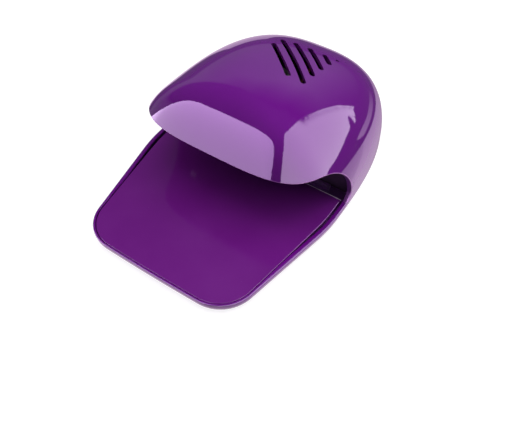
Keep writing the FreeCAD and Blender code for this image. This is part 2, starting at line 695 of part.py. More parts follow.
def base_cover():
    """Floor of the case with the battery bay, the plate's hinge knuckles, screw posts, ribs that
    hold the foot of the outlet panel, and seats for the switch, the spring and the feet."""
    floor = slab(WALL + COVER_GAP, UNDERSIDE, FLOOR_TOP)
    added = []
    bay_x = BAY_HALF_LENGTH + BAY_WALL
    bay_top = BAY_ROOF + ROOF_THICK
    bay_front = BAY_FRONT_Y - BAY_WALL
    bay_rear = BAY_REAR_Y + BAY_WALL
    added.append(box(-bay_x, bay_x, bay_front, bay_rear, FLOOR_TOP - 0.5, bay_top))
    for x, y in CASE_SCREWS:
        added.append(rod(POST_RADIUS + 0.6, Vector(x, y, UNDERSIDE), UP, POST_JOINT - 0.1 - UNDERSIDE))
    for side in (-1, 1):
        for y_low in (6.4, 12.0):
            near = 20 * side
            far = 38 * side
            added.append(box(min(near, far), max(near, far), y_low, y_low + 1.4, FLOOR_TOP - 0.5, 4.6))
    for x in (-COVER_KNUCKLE_X, COVER_KNUCKLE_X):
        added.append(rod(KNUCKLE_RADIUS, Vector(x - 4, PIN_Y, PIN_Z), ACROSS, 8))
        added.append(box(x - 4, x + 4, PIN_Y - 1, PIN_Y + 1, FLOOR_TOP - 0.5, PIN_Z))
    for x in (-NIB_X, NIB_X):
        added.append(box(x - 4, x + 4, NIB_FRONT, NIB_FRONT + 1.5, 1.35, FLOOR_TOP))
    added.append(ring(3.6, 2.9, Vector(SPRING_X, PRESS_Y, FLOOR_TOP - 0.2), UP, 1.4))
    added.append(rod(SPRING_RADIUS - 0.6, Vector(SPRING_X, PRESS_Y, FLOOR_TOP - 0.2), UP, 1.2))
    cover = floor.fuse(added)

    cuts = [box(-BAY_HALF_LENGTH, BAY_HALF_LENGTH, BAY_FRONT_Y, BAY_REAR_Y, 0, BAY_ROOF)]
    for x, y in CASE_SCREWS:
        cuts.append(rod(HEAD_RADIUS + 0.3, Vector(x, y, 0), UP, SCREW_SEAT))
        cuts.append(rod(SCREW_RADIUS + 0.2, Vector(x, y, 0), UP, POST_JOINT + 1))
    for x in (-PLATE_KNUCKLE_X, PLATE_KNUCKLE_X):
        cuts.append(rod(KNUCKLE_RADIUS + 0.3, Vector(x - 3.4, PIN_Y, PIN_Z), ACROSS, 6.8))
    bore_start = Vector(-PIN_HALF_LENGTH, PIN_Y, PIN_Z)
    cuts.append(rod(PIN_RADIUS + 0.02, bore_start, ACROSS, 2 * PIN_HALF_LENGTH))
    for x, y in FEET:
        cuts.append(rod(FOOT_RADIUS + 0.05, Vector(x, y, 0), UP, FOOT_TOP + 0.02))
    for side in (-1, 1):
        reach = DOOR_HOOK_HALF + 0.4
        x = side * DOOR_HOOK_X
        cuts.append(box(x - reach, x + reach, bay_front - 1, BAY_FRONT_Y + 0.5, FLOOR_TOP, 5.2))
    cuts.append(box(-6.4, 6.4, BAY_REAR_Y - 1, BAY_REAR_Y + 0.6, 0, 6.4))
    tab_end = -BAY_HALF_LENGTH + CONTACT_THICK + 0.1
    for y in (CELL_FRONT_Y, CELL_REAR_Y):
        cuts.append(box(-BAY_HALF_LENGTH, tab_end, y - 2, y + 2, BAY_ROOF - 1, bay_top + 1))
    return cover.cut(cuts).removeSplitter()


def battery_door():
    """Door flush with the underside. Two hooks at its front edge are the hinge, a tab at its rear
    edge snaps into the bay's wall, and two low cradles hold the cells."""
    half = BAY_HALF_LENGTH - DOOR_GAP
    front = BAY_FRONT_Y + DOOR_GAP
    rear = BAY_REAR_Y - DOOR_GAP
    top = FLOOR_TOP + 0.9
    door = box(-half, half, front, rear, UNDERSIDE, FLOOR_TOP)
    added = []
    for side in (-1, 1):
        low = side * DOOR_HOOK_X - DOOR_HOOK_HALF
        high = side * DOOR_HOOK_X + DOOR_HOOK_HALF
        added.append(box(low, high, BAY_FRONT_Y - 1.1, BAY_FRONT_Y + 2.2, FLOOR_TOP + 0.1, top))
        added.append(box(low, high, front, BAY_FRONT_Y + 2.2, FLOOR_TOP - 0.2, top))
        middle = side * CRADLE_X
        for y in (CELL_FRONT_Y, CELL_REAR_Y):
            cradle = box(middle - 1, middle + 1, y - 2.5, y + 2.5, FLOOR_TOP - 0.2, FLOOR_TOP + 1.6)
            seat = rod(CELL_RADIUS + 0.15, Vector(middle - 2, y, CELL_Z), ACROSS, 4)
            added.append(cradle.cut(seat))
    added.append(box(-6, 6, rear - 0.9, rear, FLOOR_TOP - 0.2, 5.8))
    added.append(rod(0.45, Vector(-5.5, rear, 4.6), ACROSS, 11))
    door = door.fuse(added)
    notch = rod(9, Vector(0, BAY_REAR_Y - 9.5, UNDERSIDE - 8.2), BACKWARD, 8)
    return door.cut(notch).removeSplitter()


def cell(y, side):
    """AA cell: sleeved body with a crimped end and a nub on the positive end."""
    length = CELL_BODY
    radius = CELL_RADIUS
    nub = CELL_NUB
    outline = [
        Vector(0, 0, 0), Vector(0, 4.6, 0), Vector(0, 4.6, 0.25), Vector(0, radius - 0.5, 0.25),
        Vector(0, radius, 0.8), Vector(0, radius, length - 0.9),
        Vector(0, radius - 0.7, length - 0.2), Vector(0, 3.2, length - 0.2),
        Vector(0, 2.75, length), Vector(0, 2.75, length + nub - 0.3),
        Vector(0, 2.4, length + nub), Vector(0, 0, length + nub)]
    body = Part.Face(Part.makePolygon(outline + outline[:1])).revolve(Vector(0, 0, 0), UP, 360)
    start = Vector(side * (BAY_HALF_LENGTH - CONTACT_THICK - 0.3 - length - nub), y, CELL_Z)
    body.Placement = FreeCAD.Placement(start, FreeCAD.Rotation(BACKWARD, side * 90))
    return body


def contact_coil(plate_x, y, side):
    """Conical battery spring, narrow at the cell and wide at its plate. The helix is made from
    the cell's end, and its pitch and height are given along the cone's slant."""
    wire = 0.35
    turns = 3.0
    narrow = 1.9
    reach = SPRING_GAP - 2 * wire
    slant = 1 / math.cos(math.radians(CONTACT_CONE))
    path = Part.makeHelix(reach * slant / turns, reach * slant, narrow, CONTACT_CONE)
    profile = Part.Wire([Part.Circle(Vector(narrow, 0, 0), BACKWARD, wire).toShape()])
    coil = Part.Wire(path).makePipeShell([profile], True, True)
    start = Vector(plate_x + side * (reach + 0.2), y, CELL_Z)
    coil.Placement = FreeCAD.Placement(start, FreeCAD.Rotation(BACKWARD, -side * 90))
    return coil


def contact_plate(x, y_low, y_high):
    """Flat spring-steel plate standing at the end of the bay."""
    return box(x, x + CONTACT_THICK, y_low, y_high, CELL_Z - 5.5, CELL_Z + 5.5)


def solder_tab(x, y):
    """Tab that passes through the bay's roof, where a lead is soldered."""
    return box(x, x + CONTACT_THICK, y - 1.6, y + 1.6, CELL_Z, BAY_ROOF + ROOF_THICK + 2.4)


def contact_spring():
    """Negative contact: plate with a solder tab above the bay's roof, and its spring."""
    x = -BAY_HALF_LENGTH + 0.02
    plate = contact_plate(x, CELL_FRONT_Y - 5.5, CELL_FRONT_Y + 5.5)
    tab = solder_tab(x, CELL_FRONT_Y)
    coil = contact_coil(x + CONTACT_THICK, CELL_FRONT_Y, 1)
    return plate.fuse([tab, coil])


def contact_tab():
    """Positive contact: plate with a solder tab above the bay's roof and a pressed dimple."""
    x = -BAY_HALF_LENGTH + 0.02
    plate = contact_plate(x, CELL_REAR_Y - 5.5, CELL_REAR_Y + 5.5)
    tab = solder_tab(x, CELL_REAR_Y)
    dimple = rod(1.6, Vector(x + 0.1, CELL_REAR_Y, CELL_Z), ACROSS, CONTACT_THICK + 0.1)
    return plate.fuse([tab, dimple])


def contact_bridge():
    """Plate that joins the two cells at the other end: a dimple in front and a spring behind."""
    x = BAY_HALF_LENGTH - 0.02
    plate = contact_plate(x - CONTACT_THICK, CELL_FRONT_Y - 5.5, CELL_REAR_Y + 5.5)
    dimple = rod(1.6, Vector(x - 0.1, CELL_FRONT_Y, CELL_Z), -ACROSS, CONTACT_THICK + 0.1)
    coil = contact_coil(x - CONTACT_THICK, CELL_REAR_Y, -1)
    return plate.fuse([dimple, coil])


def switch_body():
    """Moulded switch body with a square well for its plunger."""
    half = SWITCH_SIZE / 2
    body = column(SWITCH_X, PRESS_Y, half, FLOOR_TOP, SWITCH_TOP)
    well = PLUNGER_SIZE / 2 + 0.1
    body = body.cut(column(SWITCH_X, PRESS_Y, well, FLOOR_TOP + 0.6, SWITCH_TOP + 1))
    corners = [edge for edge in body.Edges if abs(edge.Length - (SWITCH_TOP - FLOOR_TOP)) < 0.01]
    return body.makeFillet(0.5, corners)


def switch_plunger():
    half = PLUNGER_SIZE / 2
    top = SHELF_BOTTOM - PLUNGER_GAP
    block = column(SWITCH_X, PRESS_Y, half, PLUNGER_FOOT, top)
    rim = [edge for edge in block.Edges if edge.BoundBox.ZMin > top - 0.01]
    return block.makeChamfer(0.3, rim)


def switch_terminals():
    """Two pins on the left side of the switch."""
    x = SWITCH_X - SWITCH_SIZE / 2
    return [box(x - 2.2, x - 0.01, y - 0.5, y + 0.5, 3.0, 3.4) for y in (PRESS_Y - 1.9, PRESS_Y + 1.9)]


def return_spring():
    """Compression spring with ground ends, from the floor to the underside of the shelf."""
    low = FLOOR_TOP + 0.05
    high = SHELF_BOTTOM - 0.05
    ground = 0.12
    foot = low + SPRING_WIRE / 2 - ground
    height = high - SPRING_WIRE / 2 + ground - foot
    path = Part.makeHelix(height / SPRING_TURNS, height, SPRING_RADIUS)
    start = Vector(SPRING_RADIUS, 0, 0)
    profile = Part.Wire([Part.Circle(start, BACKWARD, SPRING_WIRE / 2).toShape()])
    coil = Part.Wire(path).makePipeShell([profile], True, True)
    coil.translate(Vector(SPRING_X, PRESS_Y, foot))
    return coil.common(column(SPRING_X, PRESS_Y, SPRING_RADIUS + SPRING_WIRE, low, high))


def rubber_feet():
    feet = []
    for x, y in FEET:
        foot = rod(FOOT_RADIUS, Vector(x, y, 0), UP, FOOT_TOP)
        edge = [edge for edge in foot.Edges if edge.BoundBox.ZMax < 0.01]
        feet.append(foot.makeFillet(0.3, edge))
    return feet


def lead(points):
    """Insulated wire: straight runs joined by tangent arcs, whole from end to end."""
    edges = []
    start = points[0]
    for before, corner, after in zip(points, points[1:], points[2:]):
        arrive = corner - before
        leave = after - corner
        run = 0.45 * min(arrive.Length, leave.Length)
        arrive.normalize()
        leave.normalize()
        turn = arrive.getAngle(leave)
        bend = min(WIRE_BEND, run / math.tan(turn / 2))
        back = bend * math.tan(turn / 2)
        inner = leave - arrive
        inner.normalize()
        rise = bend / math.cos(turn / 2) - bend
        first = corner - arrive * back
        last = corner + leave * back
        edges.append(Part.LineSegment(start, first).toShape())
        edges.append(Part.Arc(first, corner + inner * rise, last).toShape())
        start = last
    edges.append(Part.LineSegment(start, points[-1]).toShape())
    path = Part.Wire(edges)
    heading = points[1] - points[0]
    profile = Part.Wire([Part.Circle(points[0], heading, WIRE_RADIUS).toShape()])
    tube = path.makePipeShell([profile], True, False)
    print("lead length", round(path.Length, 1), "volume ratio",
          round(tube.Volume / (math.pi * WIRE_RADIUS ** 2 * path.Length), 3))
    return tube


def motor_tab(side):
    """Tip of a brush tab, where its lead is soldered."""
    return fan_point(side * MOTOR_TAB_X, 0.15 + WIRE_RADIUS, MOTOR_FRONT + CAN_LENGTH + CAP_THICK + 1.4)


ROOF_Z = BAY_ROOF + ROOF_THICK
CONTACT_X = -BAY_HALF_LENGTH + CONTACT_THICK + 0.02 + WIRE_RADIUS
SWITCH_PIN_X = SWITCH_X - SWITCH_SIZE / 2 - 1.2


def wire_positive():
    """From the positive contact over the bay's roof to the motor's right tab."""
    end = motor_tab(1)
    y = CELL_REAR_Y
    return lead([
        Vector(CONTACT_X, y, ROOF_Z + 1.0), Vector(CONTACT_X + 0.6, y, ROOF_Z + 6),
        Vector(CONTACT_X + 9, y + 1, ROOF_Z + 9), Vector(-6, y - 2, ROOF_Z + 11),
        Vector(6, 41, end.z + 2), Vector(end.x, 34, end.z), end])


def wire_switched():
    """From the switch's rear pin, up beside the duct, to the motor's left tab."""
    end = motor_tab(-1)
    y = PRESS_Y + 1.9
    return lead([
        Vector(SWITCH_PIN_X, y, 3.4 + WIRE_RADIUS), Vector(SWITCH_PIN_X - 5, y, 4.4),
        Vector(-23, 20, 7), Vector(-26.5, 20.5, 14), Vector(-25, 24, 23),
        Vector(-18, 30, 31), Vector(end.x - 2, 34, end.z - 0.5), end])


def wire_negative():
    """From the negative contact, down in front of the bay, to the switch's front pin."""
    y = PRESS_Y - 1.9
    top = CELL_FRONT_Y
    return lead([
        Vector(CONTACT_X, top, ROOF_Z + 1.0), Vector(CONTACT_X, top - 1.5, ROOF_Z + 5.5),
        Vector(CONTACT_X - 2, 24, ROOF_Z + 6), Vector(-31, 17.5, 20), Vector(-30, 15.5, 11),
        Vector(-25, y, 5), Vector(SWITCH_PIN_X, y, 3.4 + WIRE_RADIUS)])


os.makedirs("parts", exist_ok=True)
save("outer_shell", [outer_shell()])
save("base_cover", [base_cover()])
save("finger_plate", [finger_plate()])
save("hinge_pin", [hinge_pin()])
save("return_spring", [return_spring()])
save("outlet_panel", [outlet_panel()])
save("panel_screws", panel_screws())
save("fan_impeller", [fan_impeller()])
save("motor_holder", [motor_holder()])
save("holder_screws", holder_screws())
save("motor_can", [motor_can()])
save("motor_end_cap", [motor_end_cap()])
save("motor_bushes", motor_bushes())
save("motor_magnets", motor_magnets())
save("motor_brushes", motor_brushes())
save("motor_shaft", [motor_shaft()])
save("motor_core", [motor_core()])
save("motor_windings", motor_windings())
save("motor_commutator", [motor_commutator()])
save("battery_front", [cell(CELL_FRONT_Y, 1)])
save("battery_rear", [cell(CELL_REAR_Y, -1)])
save("contact_spring", [contact_spring()])
save("contact_tab", [contact_tab()])
save("contact_bridge", [contact_bridge()])
save("battery_door", [battery_door()])
save("switch_body", [switch_body()])
save("switch_plunger", [switch_plunger()])
save("switch_terminals", switch_terminals())
save("wire_positive", [wire_positive()])
save("wire_switched", [wire_switched()])
save("wire_negative", [wire_negative()])
save("case_screws", case_screws())
save("rubber_feet", rubber_feet())
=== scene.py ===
import json
import math

import bpy
import numpy as np
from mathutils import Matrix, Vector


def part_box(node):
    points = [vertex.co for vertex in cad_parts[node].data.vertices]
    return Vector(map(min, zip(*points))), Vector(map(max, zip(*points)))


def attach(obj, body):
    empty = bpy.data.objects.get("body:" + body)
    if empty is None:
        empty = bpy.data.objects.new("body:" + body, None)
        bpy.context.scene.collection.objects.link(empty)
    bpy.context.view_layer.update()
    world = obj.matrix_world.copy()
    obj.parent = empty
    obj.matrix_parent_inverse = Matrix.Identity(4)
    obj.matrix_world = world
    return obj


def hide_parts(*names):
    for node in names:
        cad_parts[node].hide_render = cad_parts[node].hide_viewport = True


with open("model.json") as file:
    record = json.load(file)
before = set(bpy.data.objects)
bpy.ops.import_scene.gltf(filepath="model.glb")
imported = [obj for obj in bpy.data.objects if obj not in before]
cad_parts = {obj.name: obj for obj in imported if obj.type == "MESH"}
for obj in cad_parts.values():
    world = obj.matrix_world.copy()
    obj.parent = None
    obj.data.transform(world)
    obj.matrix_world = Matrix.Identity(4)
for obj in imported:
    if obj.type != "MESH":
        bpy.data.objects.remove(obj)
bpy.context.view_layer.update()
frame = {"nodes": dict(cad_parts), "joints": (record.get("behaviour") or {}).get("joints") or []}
nodes = frame["nodes"]


# Base cover: the floor of the dryer, moulded in purple ABS with a fine spark-eroded texture. It
# carries the battery bay, the screw posts and the hinge knuckles, and four screws hold it.


def new_group(name, inputs, outputs):
    """An empty shader group. inputs and outputs give each socket's name and a sample value: None
    for a vector, four numbers for a colour and one number for a plain value."""
    tree = bpy.data.node_groups.new(name, "ShaderNodeTree")
    for sockets, way in ((inputs, "INPUT"), (outputs, "OUTPUT")):
        for label, value in sockets.items():
            kind = {type(None): "Vector", tuple: "Color", float: "Float"}[type(value)]
            tree.interface.new_socket(name=label, in_out=way, socket_type="NodeSocket" + kind)
    return (tree, tree.nodes.new("NodeGroupInput").outputs,
            tree.nodes.new("NodeGroupOutput").inputs)


def feed(tree, source, socket):
    """Link an output to a socket, or set the socket to a plain number or colour."""
    if isinstance(source, bpy.types.NodeSocket):
        tree.links.new(source, socket)
    else:
        socket.default_value = source


def sum_step(tree, operation, *values):
    """A Math node of one operation on up to three values, each a number or an output."""
    node = tree.nodes.new("ShaderNodeMath")
    node.operation = operation
    for value, socket in zip(values, node.inputs):
        feed(tree, value, socket)
    return node.outputs[0]


def mix_step(tree, kind, factor, low, high):
    """A Mix node of one kind, from low to high by factor."""
    node = tree.nodes.new("ShaderNodeMix")
    node.data_type = kind
    first, second, result = {"FLOAT": (2, 3, 0), "RGBA": (6, 7, 2)}[kind]
    feed(tree, factor, node.inputs[0])
    feed(tree, low, node.inputs[first])
    feed(tree, high, node.inputs[second])
    return node.outputs[result]


def ramp_mask(tree, value, low, high):
    """0 at low, 1 at high, and straight between them. High may be the smaller one."""
    spread = tree.nodes.new("ShaderNodeMapRange")
    feed(tree, value, spread.inputs["Value"])
    spread.inputs["From Min"].default_value = low
    spread.inputs["From Max"].default_value = high
    return spread.outputs[0]


def noise_mask(tree, vector, scale, detail, low, high):
    """Noise between 0 and 1, stretched so that low becomes 0 and high becomes 1."""
    noise = tree.nodes.new("ShaderNodeTexNoise")
    noise.inputs["Detail"].default_value = detail
    feed(tree, vector, noise.inputs["Vector"])
    feed(tree, scale, noise.inputs["Scale"])
    return ramp_mask(tree, noise.outputs[0], low, high)


def wear(tree, given, out, worn, duller, amount):
    """Feed a group's colour and roughness, from fresh to worn. duller, a mask, adds up to an
    amount of roughness."""
    feed(tree, mix_step(tree, "RGBA", worn, given["Colour"], given["Worn Colour"]), out["Colour"])
    rough = mix_step(tree, "FLOAT", worn, given["Roughness"], given["Worn Roughness"])
    feed(tree, sum_step(tree, "MULTIPLY_ADD", duller, amount, rough), out["Roughness"])


SURFACE = {"Colour": (0.5, 0.5, 0.5, 1.0), "Roughness": 0.3}
WEARING = {"Vector": None, "Worn Colour": (0.5, 0.5, 0.5, 1.0), "Worn Roughness": 0.4,
           "Patch Scale": 60.0, **SURFACE}
SMEAR_SPAN = (0.38, 0.68)
GRAIN_SPAN = (0.25, 0.75)
DUST_SPAN = (0.79, 0.84)
DUST_SCALE = 1500.0
DUST_ROUGHNESS = 0.25


def moulded_plastic_group():
    """Moulded plastic. The grain is one fine noise and gives the height. Slow smears, another
    noise, shift the colour and the roughness, and rare specks of dust dull them."""
    tree, given, out = new_group(
        "moulded_plastic", {**WEARING, "Grain Scale": 800.0}, {**SURFACE, "Height": 0.0})
    where = given["Vector"]
    smear = noise_mask(tree, where, given["Patch Scale"], 4, *SMEAR_SPAN)
    speck = noise_mask(tree, where, DUST_SCALE, 1, *DUST_SPAN)
    wear(tree, given, out, smear, speck, DUST_ROUGHNESS)
    feed(tree, noise_mask(tree, where, given["Grain Scale"], 2, *GRAIN_SPAN), out["Height"])
    return tree


MOULDED = moulded_plastic_group()


def start_material(name):
    """A new material, with its tree, its shader's inputs and its object coordinates."""
    made = bpy.data.materials.new(name)
    made.use_nodes = True
    tree = made.node_tree
    where = tree.nodes.new("ShaderNodeTexCoord").outputs["Object"]
    return made, tree, tree.nodes["Principled BSDF"].inputs, where


def place_group(tree, group, where, colour, worn, rough, worn_rough, patch_scale, label, value):
    """A group placed in a material, with patches per metre of the worn colour and roughness. label
    and value are those of the group's own input. It returns the outputs."""
    node = tree.nodes.new("ShaderNodeGroup")
    node.node_tree = group
    for socket, source in (("Vector", where), ("Colour", (*colour, 1)), ("Worn Colour", (*worn, 1)),
                           ("Roughness", rough), ("Worn Roughness", worn_rough),
                           ("Patch Scale", patch_scale), (label, value)):
        feed(tree, source, node.inputs[socket])
    return node.outputs


def bump(tree, height, depth, before=None):
    """A Bump node: depth in metres for a height of 1, on top of an earlier bump if one is
    given."""
    node = tree.nodes.new("ShaderNodeBump")
    node.inputs["Distance"].default_value = depth
    feed(tree, height, node.inputs["Height"])
    if before is not None:
        feed(tree, before, node.inputs["Normal"])
    return node.outputs[0]


def coat(tree, shader, colour, roughness, normal):
    """Feed the shader's colour, roughness and normal."""
    feed(tree, colour, shader["Base Color"])
    feed(tree, roughness, shader["Roughness"])
    feed(tree, normal, shader["Normal"])


def plastic(name, colour, smeared, rough, smeared_rough, grain, depth, smear_scale=60.0,
            specular=0.5, tint=(1, 1, 1)):
    """Plastic from the moulded_plastic group. grain is grains per metre, and depth is how deep
    they are in metres. tint colours the gloss of a surface seen face on."""
    made, tree, shader, where = start_material(name)
    surface = place_group(tree, MOULDED, where, colour, smeared, rough, smeared_rough,
                          smear_scale, "Grain Scale", grain)
    shader["Specular IOR Level"].default_value = specular
    shader["Specular Tint"].default_value = (*tint, 1)
    coat(tree, shader, surface["Colour"], surface["Roughness"],
         bump(tree, surface["Height"], depth))
    return made


def dress(made, *names):
    """Give CAD nodes a material in place of the one they came with."""
    for name in names:
        mesh = nodes[name].data
        mesh.materials.clear()
        mesh.materials.append(made)


dress(plastic("cover_satin", (0.085, 0.008, 0.140), (0.098, 0.011, 0.155), 0.42, 0.55, 2600.0,
              0.00003), "base_cover")


# Rubber feet: four moulded rubber discs, pressed into seats under the base cover. The rubber is
# matt black and slightly chalky.
dress(plastic("foot_rubber", (0.024, 0.024, 0.025), (0.045, 0.045, 0.047), 0.78, 0.92, 2400.0,
              0.00004, 220.0, 0.35), "rubber_feet")


# Switch: a black moulded body on the cover's floor, a white nylon plunger that the plate's tongue
# presses, and tinned pins for the leads.
switch_black = plastic(
    "switch_black", (0.016, 0.016, 0.017), (0.028, 0.028, 0.03), 0.42, 0.6, 3200.0, 0.00001,
    400.0, 0.4)
dress(switch_black, "switch_body")
dress(plastic("natural_nylon", (0.70, 0.69, 0.63), (0.60, 0.58, 0.50), 0.38, 0.5, 2800.0,
              0.00001, 300.0), "switch_plunger")


STAIN_SPAN = (0.42, 0.72)
MARK_SPAN = (0.3, 0.7)
MARK_ROUGHNESS = 0.08


def worked_metal_group():
    """Drawn, ground or plated metal. Fine marks along the work, a noise on stretched coordinates,
    give the height and roughen it. Stains, a slow noise, shift the colour and the roughness."""
    tree, given, out = new_group(
        "worked_metal", {**WEARING, "Mark Vector": None}, {**SURFACE, "Height": 0.0})
    stain = noise_mask(tree, given["Vector"], given["Patch Scale"], 4, *STAIN_SPAN)
    mark = noise_mask(tree, given["Mark Vector"], 1.0, 3, *MARK_SPAN)
    wear(tree, given, out, stain, mark, MARK_ROUGHNESS)
    feed(tree, mark, out["Height"])
    return tree


WORKED = worked_metal_group()


def turned(tree, where, scale=(1, 1, 1), turn_x=0.0, shift=(0, 0, 0)):
    """Coordinates scaled, then turned about X, then moved."""
    node = tree.nodes.new("ShaderNodeMapping")
    feed(tree, where, node.inputs["Vector"])
    node.inputs["Scale"].default_value = scale
    node.inputs["Rotation"].default_value = (turn_x, 0, 0)
    node.inputs["Location"].default_value = shift
    return node.outputs[0]


PLAIN_MARKS = (3000, 3000, 3000)
COARSE_MARKS = (2500, 2500, 2500)
STAIN_SCALE = 260.0


def metal(name, colour, stain, rough, stained_rough, marks=PLAIN_MARKS, depth=0.000002,
          stain_scale=STAIN_SCALE, on_fan=False, ridges=None):
    """Metal from the worked_metal group. marks is marks per metre along each axis. on_fan reads
    the fan's own frame. ridges is (axis, pitch, depth) for even turns, where the axis R is the
    distance from the fan's centre line."""
    made, tree, shader, where = start_material(name)
    if on_fan:
        where = turned(tree, where, turn_x=FAN_TURN, shift=FAN_SHIFT)
    surface = place_group(tree, WORKED, where, colour, stain, rough, stained_rough, stain_scale,
                          "Mark Vector", turned(tree, where, marks))
    shader["Metallic"].default_value = 1.0
    normal = bump(tree, surface["Height"], depth)
    if ridges:
        axis, pitch, tall = ridges
        normal = bump(tree, ridge_height(tree, where, axis, pitch), tall, normal)
    coat(tree, shader, surface["Colour"], surface["Roughness"], normal)
    return made


dress(metal("tinned_pins", (0.62, 0.60, 0.57), (0.40, 0.38, 0.35), 0.28, 0.5),
      "switch_terminals")


# Return spring: a compression spring of drawn spring steel with ground ends, standing between the
# cover's floor and the plate's shelf.
dress(metal("spring_steel", (0.46, 0.46, 0.48), (0.30, 0.29, 0.29), 0.24, 0.42,
            (9000, 9000, 1500), 0.000003, 500.0), "return_spring")


# Hinge pin: a ground steel pin under the plate's front edge, pressed into the cover's knuckles.
dress(metal("ground_steel", (0.58, 0.58, 0.60), (0.44, 0.43, 0.42), 0.16, 0.3,
            (600, 9000, 9000)), "hinge_pin")


# Finger plate: a flat gloss moulding let into the tray. A hand laid on it tips it on the pin and
# presses the switch behind the panel. A pale, rougher strip along its rear edge is a painted
# highlight.
PLATE_REAR_Y = 0.0022
REAR_HIGHLIGHT_Y = PLATE_REAR_Y - 0.00065
REAR_HIGHLIGHT_Z = 0.0036
REAR_HIGHLIGHT_FADE = (0.00015, 0.0006)
REAR_HIGHLIGHT_COLOUR = (0.80, 0.66, 0.84, 1)
REAR_HIGHLIGHT_ROUGHNESS = 0.5
GLOSS_LEVEL = 0.70
GLOSS_TINT = (0.90, 0.72, 1.0)


def coordinate(tree, where, axis):
    """One coordinate of a place, X, Y or Z."""
    parts = tree.nodes.new("ShaderNodeSeparateXYZ")
    feed(tree, where, parts.inputs[0])
    return parts.outputs[axis]


plate_gloss = plastic(
    "plate_gloss", (0.120, 0.0075, 0.175), (0.130, 0.010, 0.188), 0.075, 0.13, 420.0, 0.000002,
    40.0, GLOSS_LEVEL, GLOSS_TINT)
tree = plate_gloss.node_tree
shader = tree.nodes["Principled BSDF"].inputs
surface = tree.nodes["Group"].outputs
where = tree.nodes["Texture Coordinate"].outputs["Object"]
# Painted highlight: the top of the plate's rear edge is coloured pale lilac and made rougher.
rear_highlight = sum_step(
    tree, "MULTIPLY",
    ramp_mask(tree, coordinate(tree, where, "Y"), REAR_HIGHLIGHT_Y, REAR_HIGHLIGHT_Y + REAR_HIGHLIGHT_FADE[0]),
    ramp_mask(tree, coordinate(tree, where, "Z"), REAR_HIGHLIGHT_Z, REAR_HIGHLIGHT_Z + REAR_HIGHLIGHT_FADE[1]))
feed(tree, mix_step(tree, "RGBA", rear_highlight, surface["Colour"], REAR_HIGHLIGHT_COLOUR), shader["Base Color"])
feed(tree, mix_step(tree, "FLOAT", rear_highlight, surface["Roughness"], REAR_HIGHLIGHT_ROUGHNESS),
     shader["Roughness"])
dress(plate_gloss, "finger_plate")


# Battery door: flush with the underside, in the cover's own plastic. Hooks hold its front edge and
# a snap tab its rear edge.
dress(plastic("door_satin", (0.088, 0.0085, 0.144), (0.102, 0.012, 0.160), 0.40, 0.56, 2600.0,
              0.00003, 90.0), "battery_door")


# Battery contacts: spring-steel plates with a nickel plating, two of them wound into conical
# springs, clipped into the ends of the bay.
dress(metal("nickel_plate", (0.66, 0.63, 0.57), (0.50, 0.46, 0.40), 0.2, 0.38,
            (4000, 4000, 900)), "contact_spring", "contact_tab", "contact_bridge")


# Cells: two AA cells side by side, facing opposite ways. A shrink sleeve in plain dark grey with a
# pale band covers the steel can, whose ends stay bare.
SLEEVE = (0.00085, 0.0484)
PALE_BAND = (0.0372, 0.0411)
PRINT_FADE = 0.0001
SLEEVE_GREY = (0.026, 0.027, 0.031)
SCUFFED_GREY = (0.034, 0.035, 0.039)
PALE_GREY = (0.42, 0.43, 0.45, 1)
BARE_STEEL = (0.60, 0.59, 0.57)
DULL_STEEL = (0.45, 0.43, 0.40)
FILM_DEPTH = 0.000004


def stretch_mask(tree, value, low, high, fade):
    """1 between low and high and 0 outside them, with an even fade just inside both."""
    return sum_step(tree, "MULTIPLY", ramp_mask(tree, value, low, low + fade),
                    ramp_mask(tree, value, high, high - fade))


def cell_skin(name, negative_end, side):
    """Sleeve and bare ends by the distance along the cell from its negative end, which lies at an
    X coordinate and from which the cell runs to one side, 1 or -1."""
    made, tree, shader, where = start_material(name)
    along = sum_step(
        tree, "MULTIPLY_ADD", coordinate(tree, where, "X"), side, -side * negative_end)
    sleeve = stretch_mask(tree, along, *SLEEVE, PRINT_FADE)
    band = stretch_mask(tree, along, *PALE_BAND, PRINT_FADE)
    film = place_group(tree, MOULDED, where, SLEEVE_GREY, SCUFFED_GREY, 0.2, 0.3, 90.0,
                       "Grain Scale", 900.0)
    bare = place_group(tree, WORKED, where, BARE_STEEL, DULL_STEEL, 0.2, 0.4, STAIN_SCALE,
                       "Mark Vector", turned(tree, where, PLAIN_MARKS))
    printed = mix_step(tree, "RGBA", band, film["Colour"], PALE_GREY)
    coat(tree, shader, mix_step(tree, "RGBA", sleeve, bare["Colour"], printed),
         mix_step(tree, "FLOAT", sleeve, bare["Roughness"], film["Roughness"]),
         bump(tree, film["Height"], FILM_DEPTH))
    feed(tree, sum_step(tree, "SUBTRACT", 1.0, sleeve), shader["Metallic"])
    return made


dress(cell_skin("cell_front_skin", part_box("battery_front")[0][0], 1), "battery_front")
dress(cell_skin("cell_rear_skin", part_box("battery_rear")[1][0], -1), "battery_rear")


# Motor: a steel can, coloured near-black as painted shade for the dark inside of the hood, with two
# ferrite magnets, closed by a cap in the switch's black plastic. Its three-pole rotor has stacked
# laminations with enamelled copper coils, on a ground shaft that runs in sintered bronze bushes.
spin = next(joint for joint in frame["joints"] if joint["name"] == "fan_spin")
FAN_CENTRE, FAN_AXIS = spin["pos_m"], spin["axis"]
FAN_TURN = math.atan2(FAN_AXIS[1], FAN_AXIS[2])
FAN_SHIFT = (0.0, FAN_CENTRE[2] * math.sin(FAN_TURN) - FAN_CENTRE[1] * math.cos(FAN_TURN),
             -FAN_CENTRE[2] * math.cos(FAN_TURN) - FAN_CENTRE[1] * math.sin(FAN_TURN))
RIDGE_WANDER = 0.25
WANDER_SCALE = 600.0
WANDER_SPAN = (0.2, 0.8)


